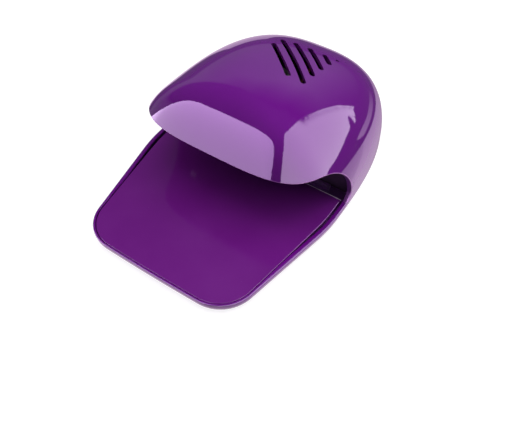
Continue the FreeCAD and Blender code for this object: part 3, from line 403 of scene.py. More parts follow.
def ridge_height(tree, where, axis, pitch):
    """Height of even ridges: a sine of the distance over their pitch, with a little wander. The
    distance goes along one axis, or is R, the distance from the Z axis."""
    if axis == "R":
        length = tree.nodes.new("ShaderNodeVectorMath")
        length.operation = "LENGTH"
        feed(tree, turned(tree, where, (1, 1, 0)), length.inputs[0])
        across = length.outputs["Value"]
    else:
        across = coordinate(tree, where, axis)
    wander = noise_mask(tree, where, WANDER_SCALE, 2, *WANDER_SPAN)
    turns = sum_step(tree, "DIVIDE", across, pitch)
    turns = sum_step(tree, "MULTIPLY_ADD", wander, RIDGE_WANDER, turns)
    wave = sum_step(tree, "SINE", sum_step(tree, "MULTIPLY", turns, 2 * math.pi))
    return sum_step(tree, "MULTIPLY_ADD", wave, 0.5, 0.5)


dress(switch_black, "motor_end_cap")
# Painted shade: the can's steel is coloured near-black for the dark inside of the hood.
dress(metal("drawn_can", (0.075, 0.075, 0.078), (0.055, 0.052, 0.050), 0.42, 0.56,
            (5000, 5000, 350), 0.000004, 200.0, True), "motor_can")
dress(metal("shaft_steel", (0.60, 0.60, 0.61), (0.46, 0.45, 0.44), 0.14, 0.26,
            (3000, 3000, 12000), 0.000002, 300.0, True), "motor_shaft")
dress(metal("stacked_laminations", (0.28, 0.28, 0.29), (0.17, 0.15, 0.14), 0.42, 0.6,
            COARSE_MARKS, 0.000004, 400.0, True, ("Z", 0.00035, 0.00006)), "motor_core")
dress(metal("enamelled_copper", (0.62, 0.25, 0.11), (0.40, 0.13, 0.05), 0.22, 0.36,
            COARSE_MARKS, 0.000003, 500.0, True, ("R", 0.00025, 0.0001)),
      "motor_windings")
dress(metal("commutator_copper", (0.72, 0.38, 0.24), (0.36, 0.17, 0.10), 0.25, 0.5,
            COARSE_MARKS, 0.000002, 700.0, True, ("Z", 0.00012, 0.00001)),
      "motor_commutator")
dress(metal("rolled_brass", (0.68, 0.47, 0.19), (0.45, 0.28, 0.11), 0.24, 0.42,
            (5000, 5000, 400), 0.000002, 420.0, True), "motor_brushes")
dress(metal("porous_bronze", (0.46, 0.28, 0.14), (0.24, 0.14, 0.07), 0.48, 0.7,
            (7000, 7000, 7000), 0.00002, 1400.0), "motor_bushes")
dress(plastic("sintered_ferrite", (0.042, 0.042, 0.046), (0.075, 0.073, 0.074), 0.6, 0.8,
              5200.0, 0.00004, 700.0, 0.6), "motor_magnets")


# Fan wheel: six twisted blades round a hub, moulded in black ABS and pressed onto the shaft. A
# film of nail dust dulls it.
dress(plastic("wheel_black", (0.016, 0.015, 0.018), (0.045, 0.042, 0.047), 0.34, 0.62, 2600.0,
              0.00001, 150.0, 0.4), "fan_impeller")


# Motor holder: a black moulded spider behind the duct ring. Four zinc-plated screws hold it to the
# panel's lugs.
dress(plastic("holder_black", (0.017, 0.015, 0.019), (0.027, 0.024, 0.029), 0.46, 0.6, 3000.0,
              0.00002, 120.0, 0.4), "motor_holder")
zinc = metal("zinc_screws", (0.56, 0.56, 0.53), (0.42, 0.38, 0.28), 0.26, 0.46,
             COARSE_MARKS, 0.000003, 900.0)
dress(zinc, "holder_screws")


# Outlet panel: the slanted wall at the back of the mouth with the finger guard and the duct ring,
# moulded in near-black matt plastic. Two screws hold it to the hood.
dress(plastic("panel_black", (0.016, 0.006, 0.020), (0.023, 0.010, 0.028), 0.6, 0.7, 2600.0,
              0.00002, 90.0, 0.04), "outlet_panel")
dress(zinc, "panel_screws")


# Leads: stranded copper in PVC insulation, soldered at its ends. The lead from the positive
# contact is dark red, the one from the negative contact black and the one from the switch white.
SCUFF = 0.86
for colour_name, lead, colour in (("red", "wire_positive", (0.050, 0.004, 0.004)),
                                  ("white", "wire_switched", (0.70, 0.70, 0.66)),
                                  ("black", "wire_negative", (0.016, 0.016, 0.017))):
    scuffed = tuple(SCUFF * part for part in colour)
    pvc = plastic("pvc_" + colour_name, colour, scuffed, 0.3, 0.42, 1600.0, 0.00001, 120.0)
    dress(pvc, lead)


# Outer shell: one moulding of high-gloss purple ABS, the hood with its open mouth and the thin rim
# round the tray. Its inside is satin and coloured darker as painted shade, and the outer rounding
# of the mouth's thin edge is coloured paler as a painted highlight. Five air slots and a pinhole go
# through its top on the slant. Its sizes are in millimetres.
MM = 0.001
shell_low, shell_high = np.round(np.array(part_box("outer_shell")) / MM, 1)
HALF_WIDTH = shell_high[0]
FRONT_Y = shell_low[1]
UNDERSIDE_Z = shell_low[2]
CENTRE_Y = -7.0
NOSE_REACH = 26.5
TAIL_REACH = shell_high[1] - CENTRE_Y
NOSE_POWER = 3.4
TAIL_POWER = 2.75
DOME_POWER = 2.3
CROWN = 53.4
CROWN_SLOPE = -0.055
RIM_Z = 5.5
TUCK_Z = 4.4
TUCK = 1.5
WALL = 2.3
MOUTH_TOP_Z = 34.0
MOUTH_CENTRE = (-24.0, 10.9)
MOUTH_DEPTH = 28.4
FOOT_RADIUS = MOUTH_CENTRE[1] - RIM_Z
FRONT_RADIUS = 1100.0
CORNER_RADIUS = 17.5
SIDE_RADIUS = 75.0
SIDE_TURN = math.radians(11.0)
RIM_WIDTH = 0.9
LEDGE_Z = 2.8
OPENING_HALF_WIDTH = 47.35
OPENING_TURN = math.radians(8.2)
PLATE_COUNTS = (60, 60, 120, 200)


def plan_half(behind, inset):
    """Reach and power of the dome's foot in plan: a superellipse whose nose half is short and
    squarer and whose tail half is long. behind is negative in the nose half."""
    return (np.where(behind < 0, NOSE_REACH, TAIL_REACH) - inset,
            np.where(behind < 0, NOSE_POWER, TAIL_POWER))


def plan_reach(angle, inset):
    """Distance from the dome's centre line to its foot, along a plan angle."""
    along = np.sin(angle)
    reach, power = plan_half(along, inset)
    across = np.abs(np.cos(angle) / (HALF_WIDTH - inset)) ** power
    return (across + np.abs(along / reach) ** power) ** (-1 / power)


def dome_height(behind, inset):
    """Height of the dome over the rim plane at a distance behind its centre line. The crown leans
    back a little."""
    return CROWN - inset - RIM_Z + CROWN_SLOPE * behind


def other_leg(leg):
    """The other leg of the dome's superellipse in section: each leg to one power, and their sum
    is 1."""
    return np.clip(1 - leg ** DOME_POWER, 0, 1) ** (1 / DOME_POWER)


def dome_point(angle, share, inset):
    """The dome at a plan angle and a share of the way out from its crown, 0 to 1. The height falls
    off as a superellipse of the share."""
    reach = plan_reach(angle, inset) * share
    y = CENTRE_Y + reach * np.sin(angle)
    z = RIM_Z + other_leg(share) * dome_height(y - CENTRE_Y, inset)
    return np.stack([reach * np.cos(angle), y, z], axis=-1)


def share_of(turn):
    """Share of the way out for a turn up the dome, from 0 at its foot to a quarter turn at its
    crown."""
    return np.cos(turn) ** (2 / DOME_POWER)


HALVINGS = 40


def halved(like, top, past):
    """Where past becomes true between 0 and top, found by halving. like is an array whose entries
    are each halved on their own."""
    low, high = np.zeros_like(like), np.full_like(like, top)
    for _ in range(HALVINGS):
        middle = (low + high) / 2
        beyond = past(middle)
        high = np.where(beyond, middle, high)
        low = np.where(beyond, low, middle)
    return (low + high) / 2


def turn_where(angle, inset, beyond):
    """Turn at which each meridian first passes a boundary. beyond is positive past it."""
    return halved(angle, math.pi / 2,
                  lambda turn: beyond(dome_point(angle, share_of(turn), inset)) > 0)


def above_mouth(point):
    """Positive outside the mouth's side profile: a quarter ellipse at the back, flat in front."""
    y = np.maximum(point[..., 1] - MOUTH_CENTRE[0], 0) / MOUTH_DEPTH
    z = (point[..., 2] - MOUTH_CENTRE[1]) / (MOUTH_TOP_Z - MOUTH_CENTRE[1])
    return y ** 2 + np.maximum(z, 0) ** 2 - 1


def level_seam(point):
    """Positive above the height of the mouth's rear corners."""
    return point[..., 2] - MOUTH_CENTRE[1]


CORNER_LIMIT = 0.6


def corner_angle(inset):
    """Plan angle of the rearmost point of the mouth's side edge."""
    def behind_mouth(angle):
        """Whether the edge there lies further back than the mouth's side profile reaches."""
        turn = turn_where(angle, inset, level_seam)
        return dome_point(angle, share_of(turn), inset)[:, 1] > MOUTH_CENTRE[0] + MOUTH_DEPTH

    return halved(np.zeros(1), CORNER_LIMIT, behind_mouth)[0]


TRAY_COUNTS = (14, 20, 26, 26)


def tray_side(inset, counts=TRAY_COUNTS, half_width=HALF_WIDTH, side_turn=SIDE_TURN):
    """Right half of the tray's outline in plan, from the widest point to the middle of the front:
    a large side arc, a straight run, a corner arc and a shallow front arc, each with its count of
    points."""
    forward = np.array([-math.sin(side_turn), -math.cos(side_turn)])
    inward = np.array([-math.cos(side_turn), math.sin(side_turn)])
    side_centre = np.array([half_width - SIDE_RADIUS, CENTRE_Y])
    side_radius = SIDE_RADIUS - inset
    turn = -np.linspace(0, side_turn, counts[0], endpoint=False)[:, None]
    side = side_centre + side_radius * np.hstack([np.cos(turn), np.sin(turn)])
    side_end = side_centre - inward * side_radius
    front_centre = np.array([0, FRONT_Y + FRONT_RADIUS])
    corner = CORNER_RADIUS - inset
    offset = side_end + inward * corner - front_centre
    along = offset @ forward
    run = -along + math.sqrt(along ** 2 - offset @ offset + (FRONT_RADIUS - CORNER_RADIUS) ** 2)
    straight = side_end + forward * np.linspace(0, run, counts[1], endpoint=False)[:, None]
    corner_centre = side_end + inward * corner + forward * run
    outward = corner_centre - front_centre
    last = math.atan2(outward[1], outward[0])
    turn = np.linspace(-side_turn, last, counts[2], endpoint=False)[:, None]
    bend = corner_centre + corner * np.hstack([np.cos(turn), np.sin(turn)])
    turn = np.linspace(last, -math.pi / 2, counts[3])[:, None]
    front = front_centre + (FRONT_RADIUS - inset) * np.hstack([np.cos(turn), np.sin(turn)])
    return np.vstack([side, straight, bend, front])


def opening_side():
    """Right half of the opening above the ledge: the plate's own outline and its gap, but never
    inside the wall's inner face. It lies between the rim's inner line and the wall's, and how far
    each point has gone towards the wall is given too."""
    wall, rim_line = tray_side(WALL), tray_side(RIM_WIDTH)
    plate = tray_side(RIM_WIDTH, PLATE_COUNTS, OPENING_HALF_WIDTH, OPENING_TURN)[::-1]

    def inside_plate(part):
        """Whether a point that far from the rim's line to the wall's is over the plate's gap."""
        place = rim_line + (wall - rim_line) * part
        return place[:, :1] <= np.interp(place[:, 1:], plate[:, 1], plate[:, 0])

    part = halved(wall[:, :1], 1.0, inside_plate)
    return rim_line + (wall - rim_line) * part, part[:, 0]


def spaced(path, count):
    """Places along a path, as fractions of its point list, that are equally far apart."""
    step = np.linalg.norm(np.diff(path, axis=0), axis=1)
    length = np.concatenate([[0], np.cumsum(step)])
    return np.interp(np.linspace(0, length[-1], count), length, np.linspace(0, 1, len(path)))


SLOT_COUNT = 5
SLOT_WIDTH = 2.5
SLOT_PITCH = 7.67
SLOT_FIRST_SUM = 22.66
SLOT_FRAME = (-11.3, 17.84, 11.86, 43.15)
PINHOLE_RADIUS = 0.8
TINY = 1e-9


def slot_lines():
    """Centre lines and radii of the slots in plan: lines x + y = constant inside a rectangle, and
    a pinhole in its rear corner."""
    left, right, front, rear = SLOT_FRAME
    radius = SLOT_WIDTH / 2
    total = SLOT_FIRST_SUM + SLOT_PITCH * np.arange(SLOT_COUNT)
    x0 = np.maximum(left, total - rear) + radius
    x1 = np.minimum(right, total - front) - radius
    starts = np.stack([x0, total - x0], axis=-1)
    ends = np.stack([x1, total - x1], axis=-1)
    pinhole = np.array([[right - PINHOLE_RADIUS, rear + PINHOLE_RADIUS]])
    return (np.vstack([starts, pinhole]), np.vstack([ends, pinhole]),
            np.array([radius] * SLOT_COUNT + [PINHOLE_RADIUS]))


def nearest_slot(plan):
    """For each plan point: its distance outside the nearest slot, and the nearest point on that
    slot's outline."""
    starts, ends, radii = slot_lines()
    run = ends - starts
    squared = np.maximum((run ** 2).sum(axis=1), TINY)
    offset = plan[:, None, :] - starts
    along = np.clip((offset * run).sum(axis=2) / squared, 0, 1)
    foot = starts + along[..., None] * run
    away = plan[:, None, :] - foot
    distance = np.linalg.norm(away, axis=2)
    best = np.argmin(distance - radii, axis=1)
    rows = np.arange(len(plan))
    outward = away[rows, best] / np.maximum(distance[rows, best], TINY)[:, None]
    outline = foot[rows, best] + outward * radii[best][:, None]
    return distance[rows, best] - radii[best], outline


WALL_ROUNDS = 6


def wall_point(angle, height, inset):
    """The shell's side at a plan angle and a height: upright below the rim plane, and on the dome
    above it, where the share of the way out follows from the height in a few rounds."""
    share = np.ones_like(angle)
    for _ in range(WALL_ROUNDS):
        behind = plan_reach(angle, inset) * share * np.sin(angle)
        share = other_leg(np.clip((height - RIM_Z) / dome_height(behind, inset), 0, 1))
    reach = plan_reach(angle, inset) * share
    x = reach * np.cos(angle)
    y = CENTRE_Y + reach * np.sin(angle)
    return np.stack([x, y, np.broadcast_to(height, x.shape)], axis=-1)


def plan_share(plan, inset):
    """Share of the way out at plan points, which is the superellipse's own norm, and the dome's
    full height there."""
    behind = plan[..., 1] - CENTRE_Y
    reach, power = plan_half(behind, inset)
    across = np.abs(plan[..., 0] / (HALF_WIDTH - inset)) ** power
    share = (across + np.abs(behind / reach) ** power) ** (1 / power)
    return share, dome_height(behind, inset)


def dome_over(plan, inset):
    """Put plan points back on the dome."""
    share, tall = plan_share(plan, inset)
    return np.column_stack([plan, RIM_Z + other_leg(share) * tall])


def unit(vectors):
    """Vectors scaled to length 1."""
    return vectors / np.maximum(np.linalg.norm(vectors, axis=-1, keepdims=True), TINY)


HAIR = 0.01


def dome_normal(point, inset):
    """Outward direction of the dome: the gradient of share ^ p + rise ^ p, by small steps."""
    def level(place):
        """The sum that is 1 on the dome."""
        share, tall = plan_share(place[:, :2], inset)
        rise = np.maximum(place[:, 2] - RIM_Z, 0) / tall
        return share ** DOME_POWER + rise ** DOME_POWER

    steps = HAIR * np.eye(3)
    return unit(np.stack([level(point + step) - level(point - step) for step in steps], axis=-1))


def rear_lean(angle, corner, fine):
    """How far the columns behind the mouth lean backwards, from 0 to 1: all the way at the mouth's
    rear corners, where the mouth's edge stands upright, and falling off evenly to the slots. It is
    negative on the left."""
    right = np.clip((fine[0] - angle) / (fine[0] - corner), 0, 1)
    left = np.clip((angle - fine[-1]) / (math.pi - corner - fine[-1]), 0, 1)
    return right - left


SLOT_ANGLES = (42, 124)
SLOT_COLUMNS = 132
RIGHT_COLUMNS = 14
LEFT_COLUMNS = 21
MOUTH_COLUMNS = 64
UPPER_LEAN = 0.28
LOWER_LEAN = 0.21
LEAN_END = 0.6
CLIMB_STEPS = (0, 0.2, 0.93, 1.0)
CLIMB_SHARES = (0, 0.49, 0.93, 1.0)
UPPER_ROWS = 106
COVER_SHARE = 0.86
EDGE_SAMPLES = 1200


def upper_skin(inset, cover=None):
    """Grid from the mouth's edge, or from a level seam behind the mouth, up to the crown. The
    columns start evenly along the edge and swing back until they stand at even plan angles, and
    they are close together over the slots. cover is the share of the way out on the outer skin,
    which the inner skin follows under the slots so that their walls stand upright."""
    corner = corner_angle(inset)
    fine = np.radians(np.linspace(*SLOT_ANGLES, SLOT_COLUMNS))
    right = np.linspace(corner, fine[0], RIGHT_COLUMNS, endpoint=False)
    left = np.linspace(fine[-1], math.pi - corner, LEFT_COLUMNS + 1)[1:]
    rear = np.concatenate([right, fine, left])
    half = corner - (math.pi / 2 + corner) * np.linspace(0, 1, EDGE_SAMPLES) ** 2
    edge = dome_point(half, share_of(turn_where(half, inset, above_mouth)), inset)
    half = corner - (math.pi / 2 + corner) * spaced(edge, MOUTH_COLUMNS) ** 2
    swing = np.linspace(corner + UPPER_LEAN, -math.pi / 2, MOUTH_COLUMNS) - half
    mouth = np.concatenate([math.pi - half[1:], half[-2:0:-1] + 2 * math.pi])
    start = np.concatenate([turn_where(rear, inset, level_seam),
                            turn_where(mouth, inset, above_mouth)])
    angle = np.concatenate([rear, mouth])
    climb = np.interp(np.linspace(0, 1, UPPER_ROWS), CLIMB_STEPS, CLIMB_SHARES)
    share = share_of(start[:, None] + (math.pi / 2 - start[:, None]) * climb)
    share[:, -1] = 0
    lean = rear_lean(rear, corner, fine)
    swing = np.concatenate([UPPER_LEAN * lean, -swing[1:], swing[-2:0:-1]])
    swinging = 1 - np.clip(1 - climb / LEAN_END, 0, 1) ** 2
    whole = angle[:, None] + swing[:, None] * swinging
    if cover is not None:
        scale = plan_reach(whole, 0.0) / plan_reach(whole, inset)
        under = np.clip((COVER_SHARE - cover) / (1 - COVER_SHARE), 0, 1)
        share = under * cover * scale + (1 - under) * share
    return dome_point(whole, share, inset), share, rear, lean


LOW_ROW = 0.2
FOOT_COLUMNS = 14
FLAT_COLUMNS = 8
FOOT_ROUNDS = 30


def lower_skin(inset, skirt, flat_rows, tray_rows, rear, lean, seam):
    """Grid from the underside up to the mouth's lower edge, or to the level seam behind it. The
    columns go round the rear, down the left foot of the mouth, round the tray and up the right
    foot. skirt holds the (height, inset) of each lower row behind the mouth's foot, where two more
    rows lead on to the edge, one at LOW_ROW of what is left and one on the edge itself. flat_rows
    holds those between the foot and the widest place. tray_rows holds the points of the tray's
    right half, row by row. lean is how far the rear columns lean back on their way down, and the
    foot's columns lean as well."""
    swing = np.linspace(0, math.pi / 2, FOOT_COLUMNS + 1)[1:]
    foot_y = MOUTH_CENTRE[0] + MOUTH_DEPTH - FOOT_RADIUS + FOOT_RADIUS * np.cos(swing)
    foot_z = MOUTH_CENTRE[1] - FOOT_RADIUS * np.sin(swing)
    foot = np.zeros_like(swing)
    for _ in range(FOOT_ROUNDS):
        out = np.linalg.norm(wall_point(foot, foot_z, inset)[:, :2] - [0, CENTRE_Y], axis=1)
        foot = np.arcsin((foot_y - CENTRE_Y) / out)
    flat = np.linspace(foot[-1], 0, FLAT_COLUMNS + 1)[1:]
    side = np.concatenate([foot, flat])
    side_top = np.concatenate([foot_z, np.full(len(flat), RIM_Z)])
    side_on_tray = np.arange(len(side)) >= len(foot)
    round_angle = np.concatenate([rear, math.pi - side])
    round_on_tray = np.concatenate([np.zeros(len(rear), dtype=bool), side_on_tray])
    top = np.concatenate([seam[:, 2], side_top])
    side_lean = LOWER_LEAN * np.concatenate([1 - swing / (math.pi / 2), np.zeros(len(flat))])
    round_lean = np.concatenate([LOWER_LEAN * lean, -side_lean])

    def leaning(angle, most, ends, heights):
        """Plan angles of one row, leaning back by most at the underside and not at the edge."""
        return angle + most * (ends - heights) / (ends - UNDERSIDE_Z)

    def row_of(number, ends, on_tray):
        """Heights and insets of one row, for columns whose edge lies at ends."""
        if number < len(skirt):
            height = np.full(len(ends), skirt[number][0])
        else:
            part = (LOW_ROW, 1.0)[number - len(skirt)]
            height = skirt[-1][0] + (ends - skirt[-1][0]) * part
        own = skirt[min(number, len(skirt) - 1)][1]
        flat_height, flat_inset = flat_rows[number]
        return np.where(on_tray, flat_height, height), np.where(on_tray, flat_inset, own)

    grid = []
    for number, tray_row in enumerate(tray_rows):
        height, own = row_of(number, top, round_on_tray)
        round_part = wall_point(leaning(round_angle, round_lean, top, height), height, own)
        height, own = row_of(number, side_top, side_on_tray)
        right_part = wall_point(leaning(side, side_lean, side_top, height), height, own)[::-1]
        half = tray_row[1:]
        tray = np.vstack([half * [-1, 1, 1], half[-2::-1]])
        grid.append(np.vstack([round_part, tray, right_part]))
    grid = np.stack(grid, axis=1)
    grid[:len(rear), -1] = seam
    return grid


def ring_faces(grid, start):
    """Four-sided faces of a grid of points whose columns close into a ring. start is the number
    of its first point."""
    index = start + np.arange(grid[..., 0].size).reshape(grid.shape[:2])
    after = np.roll(index, -1, axis=0)
    corners = [index[:, :-1], after[:, :-1], after[:, 1:], index[:, 1:]]
    return np.stack(corners, axis=-1).reshape(-1, 4)


def outline_edges(faces):
    """Directed edges that only one face uses."""
    start = faces.ravel()
    end = np.roll(faces, -1, axis=1).ravel()
    real = start != end
    start, end = start[real], end[real]
    size = faces.max() + 1
    lone = ~np.isin(start * size + end, end * size + start)
    return start[lone], end[lone]


def new_piece(name, points, faces, made):
    """A mesh object from points in millimetres and four-sided faces. A face with two corners in
    one place becomes a triangle."""
    mesh = bpy.data.meshes.new(name)
    same = faces == np.roll(faces, -1, axis=1)
    thin = same.any(axis=1)
    corners = [list(dict.fromkeys(face)) for face in faces[thin].tolist()]
    mesh.from_pydata((points * MM).tolist(), [], faces[~thin].tolist() + corners)
    mesh.polygons.foreach_set("use_smooth", np.ones(len(mesh.polygons), dtype=bool))
    mesh.materials.append(made)
    piece = bpy.data.objects.new(name, mesh)
    bpy.context.scene.collection.objects.link(piece)
    return piece


# The wall tucks in towards the underside along an arc. Both skins get their rows here, from the
# underside to the rim plane, and the inner skin steps out to the opening above its ledge.
TUCK_TURN = math.radians(64)
TUCK_TALL = (TUCK_Z - UNDERSIDE_Z) / math.sin(TUCK_TURN)
TUCK_DEEP = TUCK / (1 - math.cos(TUCK_TURN))
TUCK_ROWS = 6
LEDGE_ROWS = (TUCK_ROWS + 2) // 2
AT_WALL = 0.999
tuck_turn = np.linspace(TUCK_TURN, 0, TUCK_ROWS)
tuck_height = TUCK_Z - TUCK_TALL * np.sin(tuck_turn)
tuck_inset = TUCK_DEEP * (1 - np.cos(tuck_turn))
tucked = list(zip(tuck_height, tuck_inset))
outer_rows = tucked + [(TUCK_Z + LOW_ROW * (RIM_Z - TUCK_Z), 0.0), (RIM_Z, 0.0)]
outer_tray = [np.insert(tray_side(own), 2, height, axis=1) for height, own in outer_rows]
upright = [(height, WALL) for height in tuck_height]
under_ledge = np.linspace(UNDERSIDE_Z, LEDGE_Z, LEDGE_ROWS)
over_ledge = np.linspace(LEDGE_Z, RIM_Z, LEDGE_ROWS + 1)[1:]
inner_rows = [(height, WALL) for height in (*under_ledge, *over_ledge)]
inner_tray = [np.insert(tray_side(WALL), 2, height, axis=1) for height in under_ledge]
opening, gone = opening_side()
ledge = np.where(gone > AT_WALL, over_ledge[0], LEDGE_Z)
for part in np.linspace(0, 1, LEDGE_ROWS):
    inner_tray.append(np.column_stack([opening, ledge + (RIM_Z - ledge) * part]))

# The outer and the inner skin share one set of faces, with the doubled points of the outer one
# merged.
MERGE_DIGITS = 5
outer_upper, outer_share, rear, lean = upper_skin(0.0)
outer_lower = lower_skin(
    0.0, tucked, outer_rows, outer_tray, rear, lean, outer_upper[:len(rear), 0])
inner_upper, _, rear, lean = upper_skin(WALL, outer_share)
inner_lower = lower_skin(
    WALL, upright, inner_rows, inner_tray, rear, lean, inner_upper[:len(rear), 0])
outside = np.vstack([outer_upper.reshape(-1, 3), outer_lower.reshape(-1, 3)])
inside = np.vstack([inner_upper.reshape(-1, 3), inner_lower.reshape(-1, 3)])
faces = np.vstack([ring_faces(outer_upper, 0),
                   ring_faces(outer_lower, outer_upper[..., 0].size)])
_, first, merged = np.unique(
    np.round(outside, MERGE_DIGITS), axis=0, return_index=True, return_inverse=True)
faces = merged.ravel()[faces]
outside, inside = outside[first], inside[first]

# The faces inside a slot go, and the corners they leave move onto the slot's outline.
centre = outside[faces].mean(axis=1)
deep, _ = nearest_slot(centre[:, :2])
open_face = (deep < 0) & (centre[:, 2] > MOUTH_TOP_Z)
on_slot = np.intersect1d(faces[open_face], faces[~open_face])
faces = faces[~open_face]
_, outline = nearest_slot(outside[on_slot, :2])
outside[on_slot] = dome_over(outline, 0.0)
inside[on_slot] = dome_over(outline, WALL)
start, end = outline_edges(faces)
count = len(outside)
on_rim = ~np.isin(start, on_slot) & (outside[start, 2] > TUCK_Z)
plain_start, plain_end = start[~on_rim], end[~on_rim]
walls = np.stack([plain_end, plain_start, plain_start + count, plain_end + count], axis=-1)

# The mouth's edge is rounded on both sides, and wider on the outside of the tray, where the wall
# leaves room for it. At each of its points, along is the edge's direction and over the wall's own,
# and each skin draws back from the edge by the radius of the rounding.
EDGE_RADIUS = 0.42
TRAY_RADIUS = 0.85
FLAT_STRIP = 0.45
WIDER_BELOW = 4.0
rim = np.sort(start[on_rim])
place_from, place_to = np.searchsorted(rim, start[on_rim]), np.searchsorted(rim, end[on_rim])
following = np.zeros(len(rim), dtype=np.int64)
leading = np.zeros(len(rim), dtype=np.int64)
following[place_from] = place_to
leading[place_to] = place_from
rim_out, rim_in = outside[rim], inside[rim]
over = unit(rim_in - rim_out)
width = np.linalg.norm(rim_in - rim_out, axis=1, keepdims=True)
wider = np.clip(width - FLAT_STRIP, EDGE_RADIUS, TRAY_RADIUS) - EDGE_RADIUS
outer_radius = EDGE_RADIUS + wider * np.clip(1 - (rim_out[:, 2:] - RIM_Z) / WIDER_BELOW, 0, 1)


def skin_edge(skin, inset, facing):
    """Normals and inward directions of a skin at the mouth's edge. Above the rim the normal is the
    dome's, and along the tray it is level. facing is 1 for the outer skin and -1 for the inner."""
    along = unit(skin[following] - skin[leading])
    level = unit(np.cross(along, [0, 0, -1]))
    normal = np.where(skin[:, 2:] > RIM_Z + HAIR, dome_normal(skin, inset), level)
    return facing * normal, unit(np.cross(normal, along)), along


out_normal, out_inward, out_along = skin_edge(rim_out, 0.0, 1)
in_normal, in_inward, in_along = skin_edge(rim_in, WALL, -1)
rows, row_normals = [], []
for corner, radius, inward, across, normal, along, turns in (
        (rim_out, outer_radius, out_inward, over, out_normal, out_along, (30, 60, 90)),
        (rim_in, EDGE_RADIUS, in_inward, -over, in_normal, in_along, (90, 60, 30))):
    side_normal = unit(np.cross(over, along))
    for turn in np.radians(turns):
        rows.append(corner + radius * (inward * (1 - math.sin(turn))
                                       + across * (1 - math.cos(turn))))
        row_normals.append(unit(normal * math.cos(turn) + side_normal * math.sin(turn)))
outside[rim] = rim_out + outer_radius * out_inward
inside[rim] = rim_in + EDGE_RADIUS * in_inward
ladder = np.vstack([rim, 2 * count + np.arange(len(rows) * len(rim)).reshape(len(rows), -1),
                    rim + count])
rungs = [np.stack([high[place_to], high[place_from], low[place_from], low[place_to]], axis=-1)
         for high, low in zip(ladder, ladder[1:])]
points = np.vstack([outside, inside] + rows)
shell_faces = np.vstack([faces, faces[:, ::-1] + count, walls] + rungs)


POST_RADIUS = 3.2
POST_COLUMNS = 40
CASE_POSTS = [(-41.5, 16.0), (41.5, 16.0), (-35.5, 44.0), (35.5, 44.0)]
POST_FOOT_Z = 6.0
CASE_HOLE = (1.5, 7.0)
PANEL_POST = (36.0, -0.115, 34.236)
PANEL_HOLE = (1.0, 6.9)


def screw_post(foot, axis, hole_radius, hole_depth):
    """Post from a foot along an axis up into the dome's wall: a profile turned about the axis,
    from the blind end of the screw hole round its open foot. Its top follows the dome."""
    turn = np.linspace(0, 2 * math.pi, POST_COLUMNS, endpoint=False)[:, None]
    foot, axis = np.array(foot), np.array(axis)
    beside = np.cross(axis, [1.0, 0, 0])
    round_axis = np.cos(turn) * [1.0, 0, 0] - np.sin(turn) * beside
    edge = foot + POST_RADIUS * round_axis

    def over_dome(length):
        """Whether the post's edge has passed the middle of the wall at that length."""
        place = edge + length * axis
        return (place[:, 2] > dome_over(place[:, :2], WALL / 2)[:, 2])[:, None]

    top = edge + halved(turn, CROWN, over_dome) * axis
    centre = np.broadcast_to(top.mean(axis=0), top.shape)
    blind = np.broadcast_to(foot + hole_depth * axis, top.shape)
    hole = foot + hole_radius * round_axis
    return np.stack([blind, hole + hole_depth * axis, hole, edge, top, centre], axis=1)


posts = [screw_post((x, y, POST_FOOT_Z), (0.0, 0.0, 1.0), *CASE_HOLE) for x, y in CASE_POSTS]
posts += [screw_post((side * PANEL_POST[0], *PANEL_POST[1:]), FAN_AXIS, *PANEL_HOLE)
          for side in (-1, 1)]
for post in posts:
    shell_faces = np.vstack([shell_faces, ring_faces(post, len(points))])
    points = np.vstack([points, post.reshape(-1, 3)])

shell_gloss = plastic(
    "shell_gloss", (0.115, 0.0045, 0.190), (0.121, 0.0055, 0.198), 0.035, 0.06, 420.0,
    0.0000015, 45.0, GLOSS_LEVEL, GLOSS_TINT)
# Painted highlight: the outer rounding of the mouth's edge is coloured paler than the shell.
painted_edge_highlight = plastic(
    "painted_edge_highlight", (0.40, 0.13, 0.48), (0.43, 0.15, 0.51), 0.12, 0.2, 420.0, 0.0000015, 45.0,
    GLOSS_LEVEL, GLOSS_TINT)
# Painted shade: the inside is coloured darker than the outside, though it is the same plastic.
inner_satin_painted_shade = plastic(
    "inner_satin_painted_shade", (0.070, 0.004, 0.105), (0.080, 0.006, 0.118), 0.5, 0.62, 2600.0, 0.00003, 60.0,
    0.15)
SHARP_TURN = math.radians(40)
shell = new_piece("hood_and_tray", points, shell_faces, shell_gloss)
shell.data.set_sharp_from_angle(angle=SHARP_TURN)

# Normals of the dome, of its tuck and of the rounded edge are given exactly, so that reflections
# run smoothly. The others are zero, which leaves them to the faces.
rounded = 2 * count + len(rows) * len(rim)
exact = np.zeros((len(points), 3))
sunk = np.clip((TUCK_Z - outside[:, 2:]) / TUCK_TALL, 0, 1)
on_dome = (outside[:, 2:] > RIM_Z + HAIR) | (outside[:, 1:2] > CENTRE_Y)
exact[:count] = on_dome * unit(TUCK_TALL * np.sqrt(1 - sunk ** 2) * dome_normal(outside, 0.0)
                               - TUCK_DEEP * sunk * np.array([0, 0, 1]))
exact[count:2 * count] = -dome_normal(inside, WALL) * (inside[:, 2:] > RIM_Z + HAIR)
exact[rim] = out_normal
exact[rim + count] = in_normal
exact[2 * count:rounded] = np.vstack(row_normals)
corner_points = np.zeros(len(shell.data.loops), dtype=np.int64)
shell.data.loops.foreach_get("vertex_index", corner_points)
face_starts = np.zeros(len(shell.data.polygons), dtype=np.int64)
shell.data.polygons.foreach_get("loop_start", face_starts)
face_sizes = np.diff(np.append(face_starts, len(corner_points)))
lowest = np.minimum.reduceat(corner_points, face_starts)
highest = np.maximum.reduceat(corner_points, face_starts)
outer_face = highest < count
smooth = outer_face | ((lowest >= count) & (highest < 2 * count)) | (highest >= 2 * count)
corner_normals = exact[corner_points] * np.repeat(smooth, face_sizes)[:, None]
shell.data.normals_split_custom_set(corner_normals.tolist())
